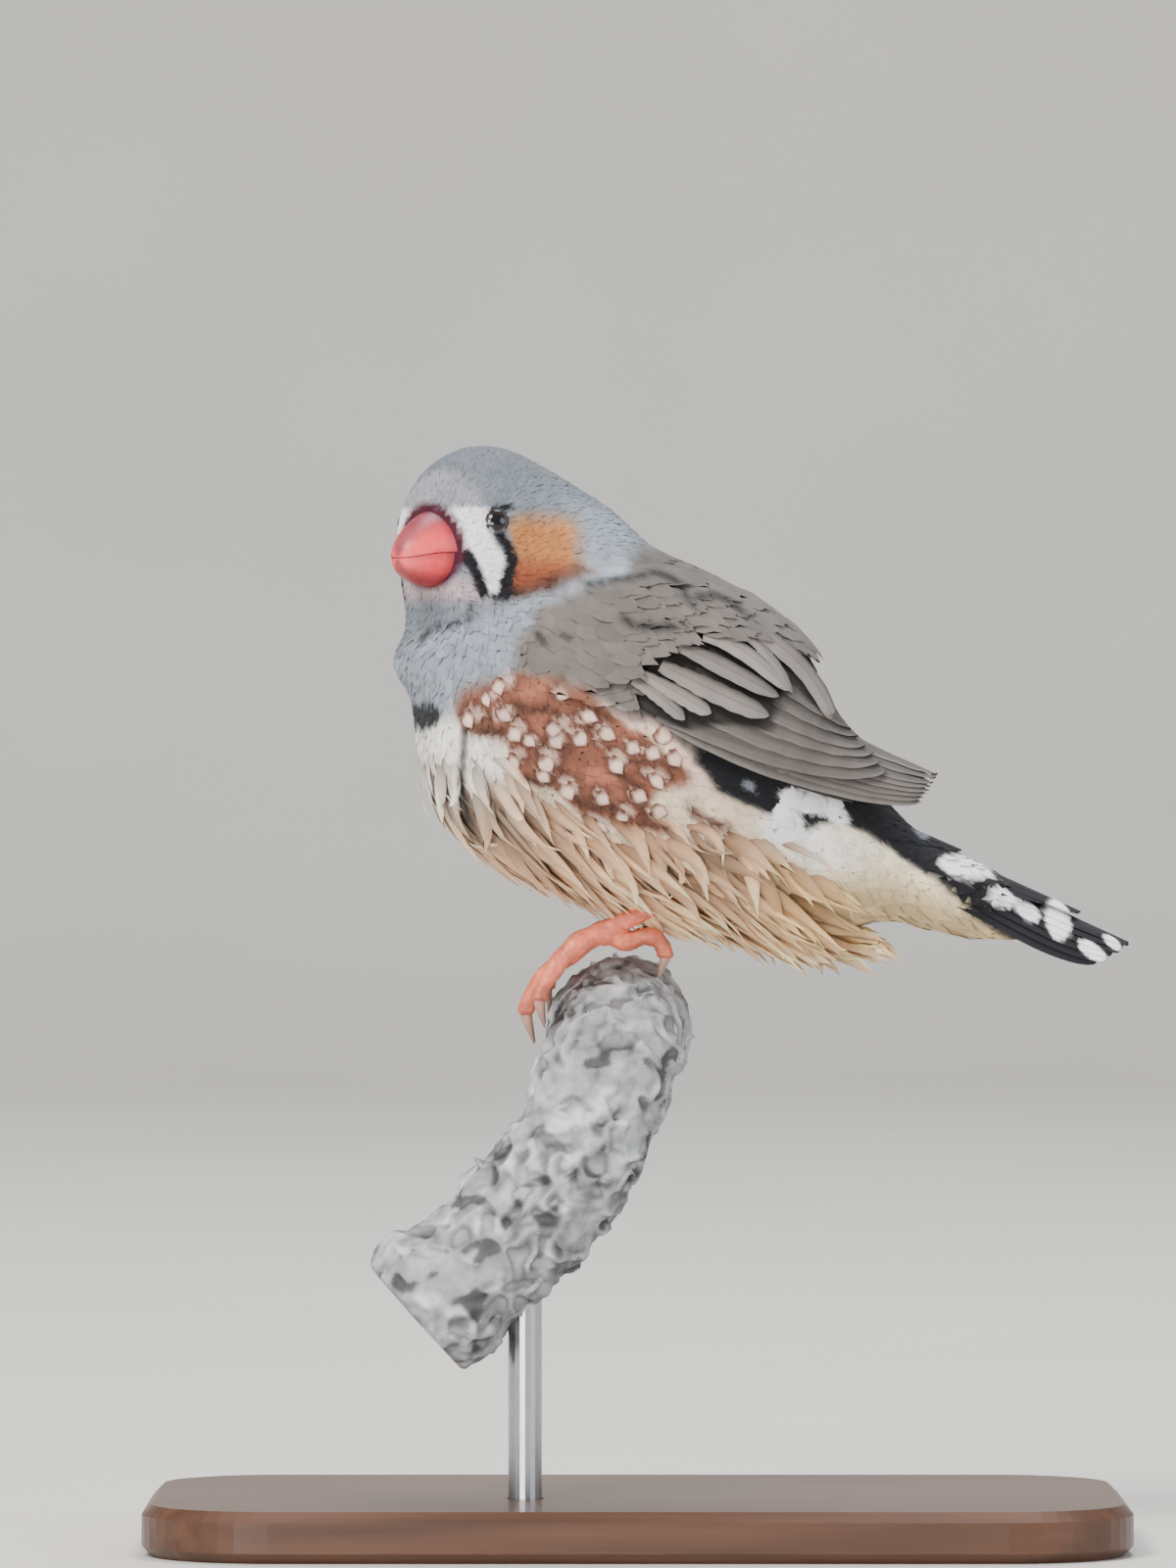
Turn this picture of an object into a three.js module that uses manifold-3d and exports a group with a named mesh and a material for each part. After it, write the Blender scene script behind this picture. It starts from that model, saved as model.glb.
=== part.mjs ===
// Zebra finch on a cut length of branch, as a still life-size display model.
// Millimetres, +Z up, the bird faces -X and its left side is towards -Y.
// The origin is the middle of the underside of the stand's base.
import * as THREE from "three";
import { mergeVertices } from "three/addons/utils/BufferGeometryUtils.js";
import Module from "manifold-3d";

const wasm = await Module();
wasm.setup();

// Clearances and vane thickness
const GAP = 0.3;
const SKIN_GAP = 0.7;
const FAR = 400;

// Spine line of the body, from which rings and angles are measured
const SPINE_AT = new THREE.Vector3(1.8, 0, 94.3);
const SPINE_PITCH = degrees(25);

// Feathered body, as ellipsoids of centre, half lengths and downward pitch towards the tail
const BODY_FORMS = {
  breast: { at: [-9.2, 0, 99.4], half: [17.1, 17.4, 18.9], pitch: 19 },
  belly: { at: [1.9, 0, 94.4], half: [24.4, 18.6, 18.3], pitch: 23 },
  mantle: { at: [2.0, 0, 105.5], half: [19.2, 14.5, 11.3], pitch: 22 },
  vent: { at: [16.5, 0, 84.0], half: [15.9, 11.5, 11.3], pitch: 19 },
  undertail: { at: [29.7, 0, 79.9], half: [19.4, 6.2, 5.3], pitch: 20 },
  throat: { at: [-18.1, -1, 110.7], half: [9.3, 9.0, 7.9], pitch: 0 },
  nape: { at: [-9.8, 0, 116.9], half: [12.1, 10.4, 8.6], pitch: 28 },
  bib: { at: [-20.1, 0, 104.5], half: [8.7, 10.5, 4.4], pitch: 0 },
};
const HEAD_FORMS = {
  skull: { at: [0, 0, 0.2], half: [10.4, 9.6, 10.5] },
  left_cheek: { at: [-2.4, 3.8, -2.0], half: [8.2, 6.6, 7.6] },
  right_cheek: { at: [-2.4, -3.8, -2.0], half: [8.2, 6.6, 7.6] },
  face: { at: [4.2, 0, -2.2], half: [5.6, 6.0, 7.2] },
};
const BODY_BLEND = 3.6;
const BODY_REACH = 70;

// Head, turned towards the viewer's side, in its own axes: forward, left, up
const HEAD_AT = new THREE.Vector3(-18.2, -1, 119.5);
const HEAD_YAW = degrees(50);
const HEAD_MESH_AT = new THREE.Vector3(-15, -0.5, 117.5);
const NECK_PITCH = degrees(23);
const NECK_TOP = new THREE.Vector3(-15.5, 0, 115.6);
const NECK_THICK = 5.2;

// Bill, in head axes
const BILL_BACK = 5.4;
const BILL_LENGTH = 10.1;
const BILL_HALF_WIDTH = 4.2;
const BILL_TIP_UP = -2.9;
const BILL_TOP_UP = 4.0;
const BILL_BOTTOM_UP = -6.3;
const GAPE_UP = -1.8;
const GAPE_PITCH = degrees(6);
const NOSTRIL_R = 0.5;
const NOSTRIL_FORWARD = 9.0;
const NOSTRIL_SIDE = 2.4;
const NOSTRIL_UP = 1.7;

// Eyes, in head axes
const EYE_TOWARDS = new THREE.Vector3(5.3, 6.6, 1.3);
const EYE_R = 2.1;
const EYE_PROUD = 0.35;
const LID_R = 1.62;
const LID_TUBE = 0.4;

// Wings, by distance along the spine and height over it
const WING_FRONT = -17;
const WING_BACK = 32;
const WING_CORE_BACK = 24;
const WING_CORE_THICK = 0.9;
const WING_TOP_ANGLE = degrees(42);
const WING_TOP_ANGLE_BACK = degrees(17);
const WING_EDGE_LOWEST_AT = 10;
const WING_EDGE_HEIGHT = 2.3;
const WING_EDGE_CLIMB = 5;
const WING_EDGE_FRONT_SPAN = 29;
const WING_EDGE_BACK_SPAN = 22;
const WING_STAND_OFF = 1.5;
const WING_EASE = 0.4;
const WING_RISE_FROM = 18.5;
const WING_RISE_SLOPE = 0.45;
const VANE_ROOT_THICK = 0.8;
const VANE_TIP_THICK = 0.5;

// Tiers of wing feathers, undermost first. Each pair runs from the back's edge to the lower edge:
// where the roots and the tips lie along the spine, and how far across the wing they lie.
const WING_TIERS = {
  primaries: { count: 5, roots: [6, 2], tips: [31, 31.5], rootsAcross: [0.3, 0.94],
    tipsAcross: [0.08, 0.84], halfWidth: 2.1, lifts: [0.6, 0.3], tilt: 0.9, rows: 3 },
  secondaries: { count: 3, roots: [-3, -5], tips: [18.5, 21.5], rootsAcross: [0.5, 0.88],
    tipsAcross: [0.52, 0.82], halfWidth: 3.1, lifts: [0.6, 1.4], tilt: 1.1, rows: 3 },
  tertials: { count: 3, roots: [-3, -4], tips: [19.5, 13.5], rootsAcross: [0.08, 0.42],
    tipsAcross: [0.12, 0.42], halfWidth: 3.4, lifts: [0.6, 2.1], tilt: 1.1, rows: 3 },
  greater_coverts: { count: 4, roots: [-8, -9], tips: [4, 9], rootsAcross: [0.36, 0.93],
    tipsAcross: [0.36, 0.92], halfWidth: 3.6, lifts: [0.7, 2.1], tilt: 1.0, rows: 3 },
  median_coverts: { count: 3, roots: [-14, -14], tips: [-4, -1], rootsAcross: [0.36, 0.88],
    tipsAcross: [0.36, 0.9], halfWidth: 4.0, lifts: [0.7, 2.2], tilt: 0.9, rows: 3 },
  scapulars: { count: 3, roots: [-13, -12], tips: [8, 1], rootsAcross: [0.04, 0.34],
    tipsAcross: [0.04, 0.36], halfWidth: 4.2, lifts: [0.7, 2.4], tilt: 1.1, rows: 3 },
};

// Tail, as a core within the body and tiers of feathers from the middle pair outwards
const TAIL_ROOT = new THREE.Vector3(15, 0, 90.0);
const TAIL_TIP = new THREE.Vector3(57.8, 0, 70.2);
const TAIL_CORE_SHARE = 0.42;
const TAIL_CORE_HALF_WIDTH = 3.4;
const TAIL_CORE_THICK = 1.6;
const TAIL_TENT = 0.11;
const TAIL_ROOM_SIDE = 3.2;
const TAIL_ROOM_OVER = 3.4;
const TAIL_ROOM_UNDER = 0.75;
const TAIL_TIERS = {
  rectrices: { sides: [1.1, 2.8, 4.0], lengths: [1, 0.98, 0.945], root: 0.16, halfWidth: 2.3,
    lift: 1.0, step: -0.5, rows: 4 },
  uppertail_coverts: { sides: [1.1, 2.6], lengths: [0.84, 0.62], root: 0.1, halfWidth: 2.4,
    lift: 1.9, step: -0.4, rows: 3 },
};

// Loose locks of belly feathers, in rows along the spine
const LOCK_ROWS = [
  { root: 9, tip: 19, hang: 5.0 },
  { root: 15, tip: 26, hang: 4.4 },
  { root: 21, tip: 32, hang: 3.0 },
];
const LOCKS_ACROSS = 5;
const LOCK_SPREAD = degrees(27);
const LOCK_HALF_WIDTH = 2.6;
const LOCK_ROOT_THICK = 2.0;
const LOCK_SINK = 1.4;

// Branch, thickest under the feet
const BRANCH_R = 7.8;
const BRANCH_PATH = [
  [-26.0, -10.5, 27.2],
  [-15.6, -10.0, 36.6],
  [-7.0, -9.0, 47.5],
  [-3.4, -5.2, 57.0],
  [-2.2, 3.0, 60.8],
  [-1.6, 16.0, 60.6],
];

// Legs and feet
const FOOT_SIDE = 5.6;
const TOE_CLEAR = 0.36;
const TOE_BASE = new THREE.Vector3(-4.1, 0, 72.6);
const TARSUS_TOP = new THREE.Vector3(8.4, 0, 78.8);
const TARSUS_START = 1.3;
const TARSUS_R = 1.12;
const TOE_R = 1.02;
const CLAW_R = 0.62;

// Toe joints as offsets from the foot's middle, then the claw's tip
const TOES = [
  { name: "1", joints: [[2.7, -0.6, -1.1], [5.8, -0.6, -0.5], [7.4, -0.4, -2.4]], claw: [6.6, -0.2, -5.4] },
  { name: "2", joints: [[-2.8, -1.7, -1.2], [-5.2, -2.9, -3.6], [-6.6, -3.4, -6.8]], claw: [-5.8, -3.6, -9.8] },
  { name: "3", joints: [[-3.4, 0, -2.4], [-6.6, 0.1, -5.0], [-9.0, 0.2, -9.0]], claw: [-8.0, 0.2, -13.2] },
  { name: "4", joints: [[-2.8, 1.8, -1.4], [-5.4, 3.2, -4.0], [-7.4, 3.8, -7.6]], claw: [-6.8, 4.0, -11.2] },
];
const CLAW_SHARE = 0.24;

// Stand
const BASE_LENGTH = 116;
const BASE_WIDTH = 66;
const BASE_THICK = 6;
const BASE_CORNER_R = 14;
const BASE_EDGE = 1.2;
const ROD_R = 2;
const ROD_AT = new THREE.Vector3(-13.2, -9.3, 0);
const ROD_SINK = 3;
const ROD_TOP = 41;

// Finishes
const FINISH = {
  grey: [0x9aa0a8, 0.85],
  mantle: [0x8b8078, 0.85],
  cream: [0xd8c6a6, 0.9],
  black: [0x1b1b1e, 0.7],
  bill: [0xd8433f, 0.35],
  eye: [0x1a0f0c, 0.1],
  foot: [0xdd8a66, 0.55],
  claw: [0xb9957c, 0.45],
  bark: [0xa9a8a3, 0.95],
  wood: [0x5b4030, 0.5],
  steel: [0xb5b5b5, 0.3],
};

// A repeatable draw between -1 and 1
let seed = 20;
function draw() {
  seed = (seed * 16807) % 2147483647;
  return (seed / 2147483647) * 2 - 1;
}

function degrees(angle) {
  return (angle * Math.PI) / 180;
}

// Head axes: forward, left and up
const FORWARD = new THREE.Vector3(-Math.cos(HEAD_YAW), -Math.sin(HEAD_YAW), 0);
const LEFT = new THREE.Vector3(Math.sin(HEAD_YAW), -Math.cos(HEAD_YAW), 0);
const UP = new THREE.Vector3(0, 0, 1);

// Signed distance, near enough, to an ellipsoid from a point in its own axes
function ellipsoidDistance(x, y, z, [a, b, c]) {
  const near = Math.hypot(x / a, y / b, z / c);
  const steep = Math.hypot(x / (a * a), y / (b * b), z / (c * c));
  return steep < 1e-9 ? -Math.min(a, b, c) : (near * (near - 1)) / steep;
}

// A body form is pitched in the XZ plane
function formDistance(p, form) {
  const turn = degrees(form.pitch);
  const dx = p.x - form.at[0];
  const dz = p.z - form.at[2];
  const along = dx * Math.cos(turn) - dz * Math.sin(turn);
  const over = dx * Math.sin(turn) + dz * Math.cos(turn);
  return ellipsoidDistance(along, p.y - form.at[1], over, form.half);
}

// A head form lies in the head's axes
function headFormDistance(p, form) {
  const [dx, dy, dz] = [p.x - HEAD_AT.x, p.y - HEAD_AT.y, p.z - HEAD_AT.z];
  const forward = dx * FORWARD.x + dy * FORWARD.y;
  const left = dx * LEFT.x + dy * LEFT.y;
  return ellipsoidDistance(forward - form.at[0], left - form.at[1], dz - form.at[2], form.half);
}

function smoothUnion(first, second, blend) {
  const share = Math.max(blend - Math.abs(first - second), 0) / blend;
  return Math.min(first, second) - (share * share * blend) / 4;
}

function bodyDistance(p) {
  const body = Object.values(BODY_FORMS).map((form) => formDistance(p, form));
  const head = Object.values(HEAD_FORMS).map((form) => headFormDistance(p, form));
  return [...body, ...head].reduce((a, b) => smoothUnion(a, b, BODY_BLEND));
}

// Distance from a point inside the body to its surface along a direction
function reachSurface(from, direction, longest) {
  let low = 0;
  let high = longest;
  for (let step = 0; step < 26; step += 1) {
    const middle = (low + high) / 2;
    const inside = bodyDistance(from.clone().addScaledVector(direction, middle)) < 0;
    low = inside ? middle : low;
    high = inside ? high : middle;
  }
  return low;
}

// Spine axes and the body's surface round them
const ALONG = new THREE.Vector3(Math.cos(SPINE_PITCH), 0, -Math.sin(SPINE_PITCH));
const OVER = new THREE.Vector3(Math.sin(SPINE_PITCH), 0, Math.cos(SPINE_PITCH));

function aroundSpine(angle, side) {
  return OVER.clone().multiplyScalar(Math.cos(angle)).add(new THREE.Vector3(0, side * Math.sin(angle), 0));
}

function onBody(along, angle, side, lift) {
  const from = SPINE_AT.clone().addScaledVector(ALONG, along);
  const direction = aroundSpine(angle, side);
  return from.addScaledVector(direction, reachSurface(from, direction, BODY_REACH) + lift);
}

function onHead(forward, left, up) {
  return HEAD_AT.clone().addScaledVector(FORWARD, forward).addScaledVector(LEFT, left).addScaledVector(UP, up);
}

// Closed solids and booleans
function signedVolume(positions, index) {
  const a = new THREE.Vector3();
  const b = new THREE.Vector3();
  const c = new THREE.Vector3();
  let total = 0;
  for (let i = 0; i < index.length; i += 3) {
    a.fromArray(positions, index[i] * 3);
    b.fromArray(positions, index[i + 1] * 3);
    c.fromArray(positions, index[i + 2] * 3);
    total += a.dot(b.cross(c));
  }
  return total;
}

function solidOf(geometry) {
  const bare = geometry.clone();
  bare.deleteAttribute("normal");
  bare.deleteAttribute("uv");
  const merged = mergeVertices(bare, 1e-4);
  const positions = Float32Array.from(merged.attributes.position.array);
  const index = Uint32Array.from(merged.index.array);
  if (signedVolume(positions, index) < 0) {
    for (let i = 0; i < index.length; i += 3) {
      [index[i], index[i + 1]] = [index[i + 1], index[i]];
    }
  }
  return new wasm.Manifold(new wasm.Mesh({ numProp: 3, vertProperties: positions, triVerts: index }));
}

function largest(solid) {
  return solid.decompose().reduce((best, one) => (one.volume() > best.volume() ? one : best));
}

function joined(solids) {
  return solids.reduce((all, one) => all.add(one));
}

function meshOf(name, solid, finish) {
  const mesh = largest(solid).getMesh();
  const geometry = new THREE.BufferGeometry();
  geometry.setAttribute("position", new THREE.BufferAttribute(mesh.vertProperties, 3));
  geometry.setIndex(new THREE.BufferAttribute(mesh.triVerts, 1));
  geometry.computeVertexNormals();
  const [color, roughness] = FINISH[finish];
  const metalness = finish === "steel" ? 0.9 : 0;
  const node = new THREE.Mesh(geometry, new THREE.MeshStandardMaterial({ color, roughness, metalness }));
  node.name = name;
  return node;
}

// Everything on one side of a plane, as a large block
function halfSpace(point, normal) {
  const block = new THREE.BoxGeometry(FAR, FAR, FAR);
  block.translate(0, 0, FAR / 2);
  block.applyQuaternion(new THREE.Quaternion().setFromUnitVectors(UP, normal.clone().normalize()));
  block.translate(point.x, point.y, point.z);
  return solidOf(block);
}

// A sphere whose rings run along an axis, each vertex moved out to the body's surface
function bodyFrom(centre, axis, around, rings, crowding) {
  const sphere = new THREE.SphereGeometry(1, around, rings);
  const turn = new THREE.Quaternion().setFromUnitVectors(new THREE.Vector3(0, 1, 0), axis);
  const positions = sphere.attributes.position;
  const direction = new THREE.Vector3();
  for (let i = 0; i < positions.count; i += 1) {
    direction.fromBufferAttribute(positions, i);
    const fall = Math.acos(THREE.MathUtils.clamp(direction.y, -1, 1));
    const crowded = Math.PI * (fall / Math.PI) ** crowding;
    const spread = Math.hypot(direction.x, direction.z) || 1;
    direction.x *= Math.sin(crowded) / spread;
    direction.z *= Math.sin(crowded) / spread;
    direction.y = Math.cos(crowded);
    direction.applyQuaternion(turn);
    const point = centre.clone().addScaledVector(direction, reachSurface(centre, direction, BODY_REACH));
    positions.setXYZ(i, point.x, point.y, point.z);
  }
  return solidOf(sphere);
}

// A rod of changing radius along a curve, from a cylinder bent to it
function bentRod(curve, radiusAt, sides, steps) {
  const rod = new THREE.CylinderGeometry(1, 1, 1, sides, steps);
  const frames = curve.computeFrenetFrames(steps, false);
  const positions = rod.attributes.position;
  for (let i = 0; i < positions.count; i += 1) {
    const share = positions.getY(i) + 0.5;
    const step = Math.round(share * steps);
    const point = curve.getPointAt(share);
    const angle = Math.atan2(positions.getZ(i), positions.getX(i));
    const reach = Math.hypot(positions.getX(i), positions.getZ(i)) * radiusAt(share, angle);
    point.addScaledVector(frames.normals[step], reach * Math.cos(angle));
    point.addScaledVector(frames.binormals[step], reach * Math.sin(angle));
    positions.setXYZ(i, point.x, point.y, point.z);
  }
  return solidOf(rod);
}

// A thin plate over a grid, with its two faces split alike
function plate(columns, rows, place) {
  const positions = [];
  const index = [];
  for (const face of [0, 1]) {
    for (let row = 0; row <= rows; row += 1) {
      for (let column = 0; column <= columns; column += 1) {
        positions.push(...place(column / columns, row / rows, face).toArray());
      }
    }
  }
  const at = (column, row, face) => (face * (rows + 1) + row) * (columns + 1) + column;
  const quad = (a, b, c, d) => index.push(a, b, d, b, c, d);
  for (let row = 0; row < rows; row += 1) {
    for (let column = 0; column < columns; column += 1) {
      const [a, b] = [at(column, row, 0), at(column + 1, row, 0)];
      const [c, d] = [at(column + 1, row + 1, 0), at(column, row + 1, 0)];
      const lift = (rows + 1) * (columns + 1);
      index.push(a, d, b, b, d, c);
      index.push(a + lift, b + lift, d + lift, b + lift, c + lift, d + lift);
    }
  }
  for (let row = 0; row < rows; row += 1) {
    quad(at(0, row, 0), at(0, row, 1), at(0, row + 1, 1), at(0, row + 1, 0));
    quad(at(columns, row, 1), at(columns, row, 0), at(columns, row + 1, 0), at(columns, row + 1, 1));
  }
  for (let column = 0; column < columns; column += 1) {
    quad(at(column, 0, 1), at(column, 0, 0), at(column + 1, 0, 0), at(column + 1, 0, 1));
    quad(at(column, rows, 0), at(column, rows, 1), at(column + 1, rows, 1), at(column + 1, rows, 0));
  }
  const geometry = new THREE.BufferGeometry();
  geometry.setAttribute("position", new THREE.Float32BufferAttribute(positions, 3));
  geometry.setIndex(index);
  return solidOf(geometry);
}

// Bill as one closed form, grown by a clearance where it is a cutter
function billSolid(grow) {
  const bill = new THREE.CylinderGeometry(1, 1, 1, 16, 8);
  const positions = bill.attributes.position;
  for (let i = 0; i < positions.count; i += 1) {
    const share = positions.getY(i) + 0.5;
    const angle = Math.atan2(positions.getZ(i), positions.getX(i));
    const reach = Math.hypot(positions.getX(i), positions.getZ(i));
    const taper = Math.sqrt(Math.max(1 - share ** 1.7, 0)) * 0.94 + 0.06;
    const middle = THREE.MathUtils.lerp((BILL_TOP_UP + BILL_BOTTOM_UP) / 2, BILL_TIP_UP, share ** 1.3);
    const tall = (BILL_TOP_UP - BILL_BOTTOM_UP) / 2;
    const left = reach * (BILL_HALF_WIDTH * taper + grow) * Math.cos(angle);
    const up = middle + reach * (tall * taper + grow) * Math.sin(angle);
    const forward = BILL_BACK - grow + share * (BILL_LENGTH + 2 * grow);
    positions.setXYZ(i, ...onHead(forward, left, up).toArray());
  }
  return solidOf(bill);
}

function gapePlane(side) {
  const normal = UP.clone().multiplyScalar(side * Math.cos(GAPE_PITCH));
  normal.addScaledVector(FORWARD, side * Math.sin(GAPE_PITCH));
  return halfSpace(onHead(BILL_BACK, 0, GAPE_UP).addScaledVector(normal, GAP / 2), normal);
}

// The way out of the head at one eye, and where that meets the surface
function eyeAxis(side) {
  const outward = onHead(EYE_TOWARDS.x, side * EYE_TOWARDS.y, EYE_TOWARDS.z).sub(HEAD_AT).normalize();
  return { outward, surface: HEAD_AT.clone().addScaledVector(outward, reachSurface(HEAD_AT, outward, 30)) };
}

function eyeSolid(side, radius) {
  const { outward, surface } = eyeAxis(side);
  const eye = new THREE.SphereGeometry(radius, 14, 9);
  const at = surface.addScaledVector(outward, EYE_PROUD - EYE_R);
  eye.translate(at.x, at.y, at.z);
  return solidOf(eye);
}

function lidSolid(side) {
  const { outward, surface } = eyeAxis(side);
  const lid = new THREE.TorusGeometry(LID_R, LID_TUBE, 6, 20);
  lid.applyQuaternion(new THREE.Quaternion().setFromUnitVectors(UP, outward));
  surface.addScaledVector(outward, -0.15);
  lid.translate(surface.x, surface.y, surface.z);
  return solidOf(lid);
}

function headNodes(blockAbove, blockBetween) {
  const form = bodyFrom(HEAD_MESH_AT, UP, 32, 20, 1);
  const bill = billSolid(0);
  let head = form.intersect(blockAbove).subtract(billSolid(GAP));
  for (const side of [1, -1]) {
    head = head.add(lidSolid(side)).subtract(eyeSolid(side, EYE_R + GAP));
  }
  let upper = bill.intersect(gapePlane(1));
  for (const side of [1, -1]) {
    const nostril = new THREE.SphereGeometry(NOSTRIL_R, 10, 8);
    const at = onHead(NOSTRIL_FORWARD, side * NOSTRIL_SIDE, NOSTRIL_UP);
    nostril.translate(at.x, at.y, at.z);
    upper = upper.subtract(solidOf(nostril));
  }
  return [
    meshOf("head", head, "grey"),
    meshOf("neck", form.intersect(blockBetween), "grey"),
    meshOf("bill_upper", upper, "bill"),
    meshOf("bill_lower", bill.intersect(gapePlane(-1)), "bill"),
    meshOf("eye_left", eyeSolid(1, EYE_R), "eye"),
    meshOf("eye_right", eyeSolid(-1, EYE_R), "eye"),
  ];
}

// Rows crowd towards a feather's tip, where its outline turns
function crowded(share) {
  return 1 - (1 - share) ** 1.4;
}

// Width of a feather along its length, rounded at the tip
function vaneWidth(share) {
  const tip = THREE.MathUtils.clamp((share - 0.72) / 0.28, 0, 1);
  return Math.min(1, 0.62 + 0.9 * share) * (0.12 + 0.88 * Math.sqrt(1 - tip * tip));
}

// Angle round the spine across the wing, from the back's edge to the lower edge
function wingAngle(side, along, across) {
  const back = THREE.MathUtils.clamp((along - WING_FRONT) / (WING_BACK - WING_FRONT), 0, 1);
  const span = along < WING_EDGE_LOWEST_AT ? WING_EDGE_FRONT_SPAN : WING_EDGE_BACK_SPAN;
  const height = WING_EDGE_HEIGHT + WING_EDGE_CLIMB * ((along - WING_EDGE_LOWEST_AT) / span) ** 2;
  const from = SPINE_AT.clone().addScaledVector(ALONG, along);
  const standing = WING_STAND_OFF + wingRise(along, degrees(60));
  const reach = reachSurface(from, aroundSpine(degrees(60), side), BODY_REACH) + standing;
  const high = THREE.MathUtils.lerp(WING_TOP_ANGLE, WING_TOP_ANGLE_BACK, Math.min(back * 1.75, 1));
  const low = Math.max(Math.acos(THREE.MathUtils.clamp(height / reach, 0, 1)), high + 0.14);
  return { angle: THREE.MathUtils.lerp(high, low, across), reach };
}

// How far the folded wing stands off the rump towards its tip, most along its upper edge
function wingRise(along, angle) {
  const past = Math.max(along - WING_RISE_FROM, 0) * Math.max(Math.cos(angle), 0);
  return WING_EASE * THREE.MathUtils.smoothstep(along, 2, 12) + WING_RISE_SLOPE * past;
}

function wingCore(side) {
  return plate(4, 6, (across, back, face) => {
    const along = THREE.MathUtils.lerp(WING_FRONT, WING_CORE_BACK, back);
    const { angle } = wingAngle(side, along, THREE.MathUtils.lerp(0.04, 0.96, across));
    const full = 1 + 0.9 * Math.sin(Math.PI * across) * (1 - back);
    const thick = WING_CORE_THICK * full;
    return onBody(along, angle, side, SKIN_GAP + wingRise(along, angle) + face * thick);
  });
}

function wingVane(side, tier, order) {
  const share = order / (tier.count - 1);
  const pick = ([first, last]) => THREE.MathUtils.lerp(first, last, share);
  const [rootAlong, tipAlong] = [pick(tier.roots), pick(tier.tips) + 0.6 * draw()];
  const [rootAcross, tipAcross] = [pick(tier.rootsAcross), pick(tier.tipsAcross)];
  return plate(1, tier.rows, (u, row, face) => {
    const t = crowded(row);
    const along = THREE.MathUtils.lerp(rootAlong, tipAlong, t);
    const { angle, reach } = wingAngle(side, along, THREE.MathUtils.lerp(rootAcross, tipAcross, t));
    const offset = ((u * 2 - 1) * tier.halfWidth * vaneWidth(t)) / Math.max(reach, 6);
    const over = THREE.MathUtils.lerp(...tier.lifts, t) + tier.tilt * u * (0.3 + 0.7 * t);
    const thick = THREE.MathUtils.lerp(VANE_ROOT_THICK, VANE_TIP_THICK, t);
    const lift = SKIN_GAP + wingRise(along, angle) + over + face * thick;
    return onBody(along, angle + offset, side, lift);
  });
}

function wingSolid(side) {
  const vanes = Object.values(WING_TIERS).flatMap((tier) => {
    return Array.from({ length: tier.count }, (_, order) => wingVane(side, tier, order));
  });
  return joined([wingCore(side), ...vanes]);
}

// Tail axis, and the way up from it
const TAIL_BACK = TAIL_TIP.clone().sub(TAIL_ROOT).normalize();
const TAIL_UP = new THREE.Vector3(-TAIL_BACK.z, 0, TAIL_BACK.x);
const TAIL_LENGTH = TAIL_TIP.distanceTo(TAIL_ROOT);

function onTail(share, aside, lift) {
  const sag = TAIL_TENT * aside * aside;
  const point = TAIL_ROOT.clone().addScaledVector(TAIL_BACK, share * TAIL_LENGTH);
  return point.addScaledVector(TAIL_UP, lift - sag).add(new THREE.Vector3(0, aside, 0));
}

function tailCore() {
  return plate(4, 4, (across, back, face) => {
    const aside = (across * 2 - 1) * TAIL_CORE_HALF_WIDTH;
    return onTail(back * TAIL_CORE_SHARE, aside, face * TAIL_CORE_THICK);
  });
}

function tailVane(tier, order, side) {
  const length = tier.lengths[order] + 0.006 * draw();
  return plate(1, tier.rows, (u, row, face) => {
    const t = crowded(row);
    const spread = THREE.MathUtils.lerp(0.55, 1, t) * tier.sides[order] * side;
    const aside = spread + (u * 2 - 1) * tier.halfWidth * vaneWidth(t);
    const thick = THREE.MathUtils.lerp(VANE_ROOT_THICK, VANE_TIP_THICK, t);
    const settle = (tier.lift + tier.step * order + 0.12 * side) * THREE.MathUtils.lerp(0.8, 1, t);
    return onTail(THREE.MathUtils.lerp(tier.root, length, t), aside, settle + face * thick);
  });
}

function tailSolid() {
  const vanes = Object.values(TAIL_TIERS).flatMap((tier) => {
    return tier.sides.flatMap((_, order) => [-1, 1].map((side) => tailVane(tier, order, side)));
  });
  return joined([tailCore(), ...vanes]);
}

// Room that the tail takes where it leaves the body
function tailRoom() {
  return plate(6, 6, (across, back, face) => {
    const aside = (across * 2 - 1) * (TAIL_CORE_HALF_WIDTH + TAIL_ROOM_SIDE + GAP);
    const lift = face ? TAIL_ROOM_OVER + GAP : -TAIL_ROOM_UNDER - GAP;
    return onTail(THREE.MathUtils.lerp(-0.02, 1.03, back), aside, lift);
  });
}

// One loose lock of belly feathers, its root sunk in the body and its tip hanging clear
function bellyLock(row, order) {
  const angle = Math.PI + (order - (LOCKS_ACROSS - 1) / 2) * LOCK_SPREAD + 0.06 * draw();
  const tip = row.tip + 1.2 * draw();
  const hang = row.hang * (0.75 + 0.25 * draw()) * (0.4 + 0.6 * Math.abs(Math.cos(angle)));
  return plate(1, 3, (u, t, face) => {
    const along = THREE.MathUtils.lerp(row.root, tip, t);
    const width = LOCK_HALF_WIDTH * (1 - t ** 1.6) + 0.25;
    const from = SPINE_AT.clone().addScaledVector(ALONG, along);
    const reach = reachSurface(from, aroundSpine(angle, -1), BODY_REACH);
    const thick = THREE.MathUtils.lerp(LOCK_ROOT_THICK, VANE_TIP_THICK, t);
    const lift = THREE.MathUtils.lerp(-LOCK_SINK, hang - VANE_TIP_THICK, t ** 0.8) + face * thick;
    return onBody(along, angle + ((u * 2 - 1) * width) / Math.max(reach, 5), -1, lift);
  });
}

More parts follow.
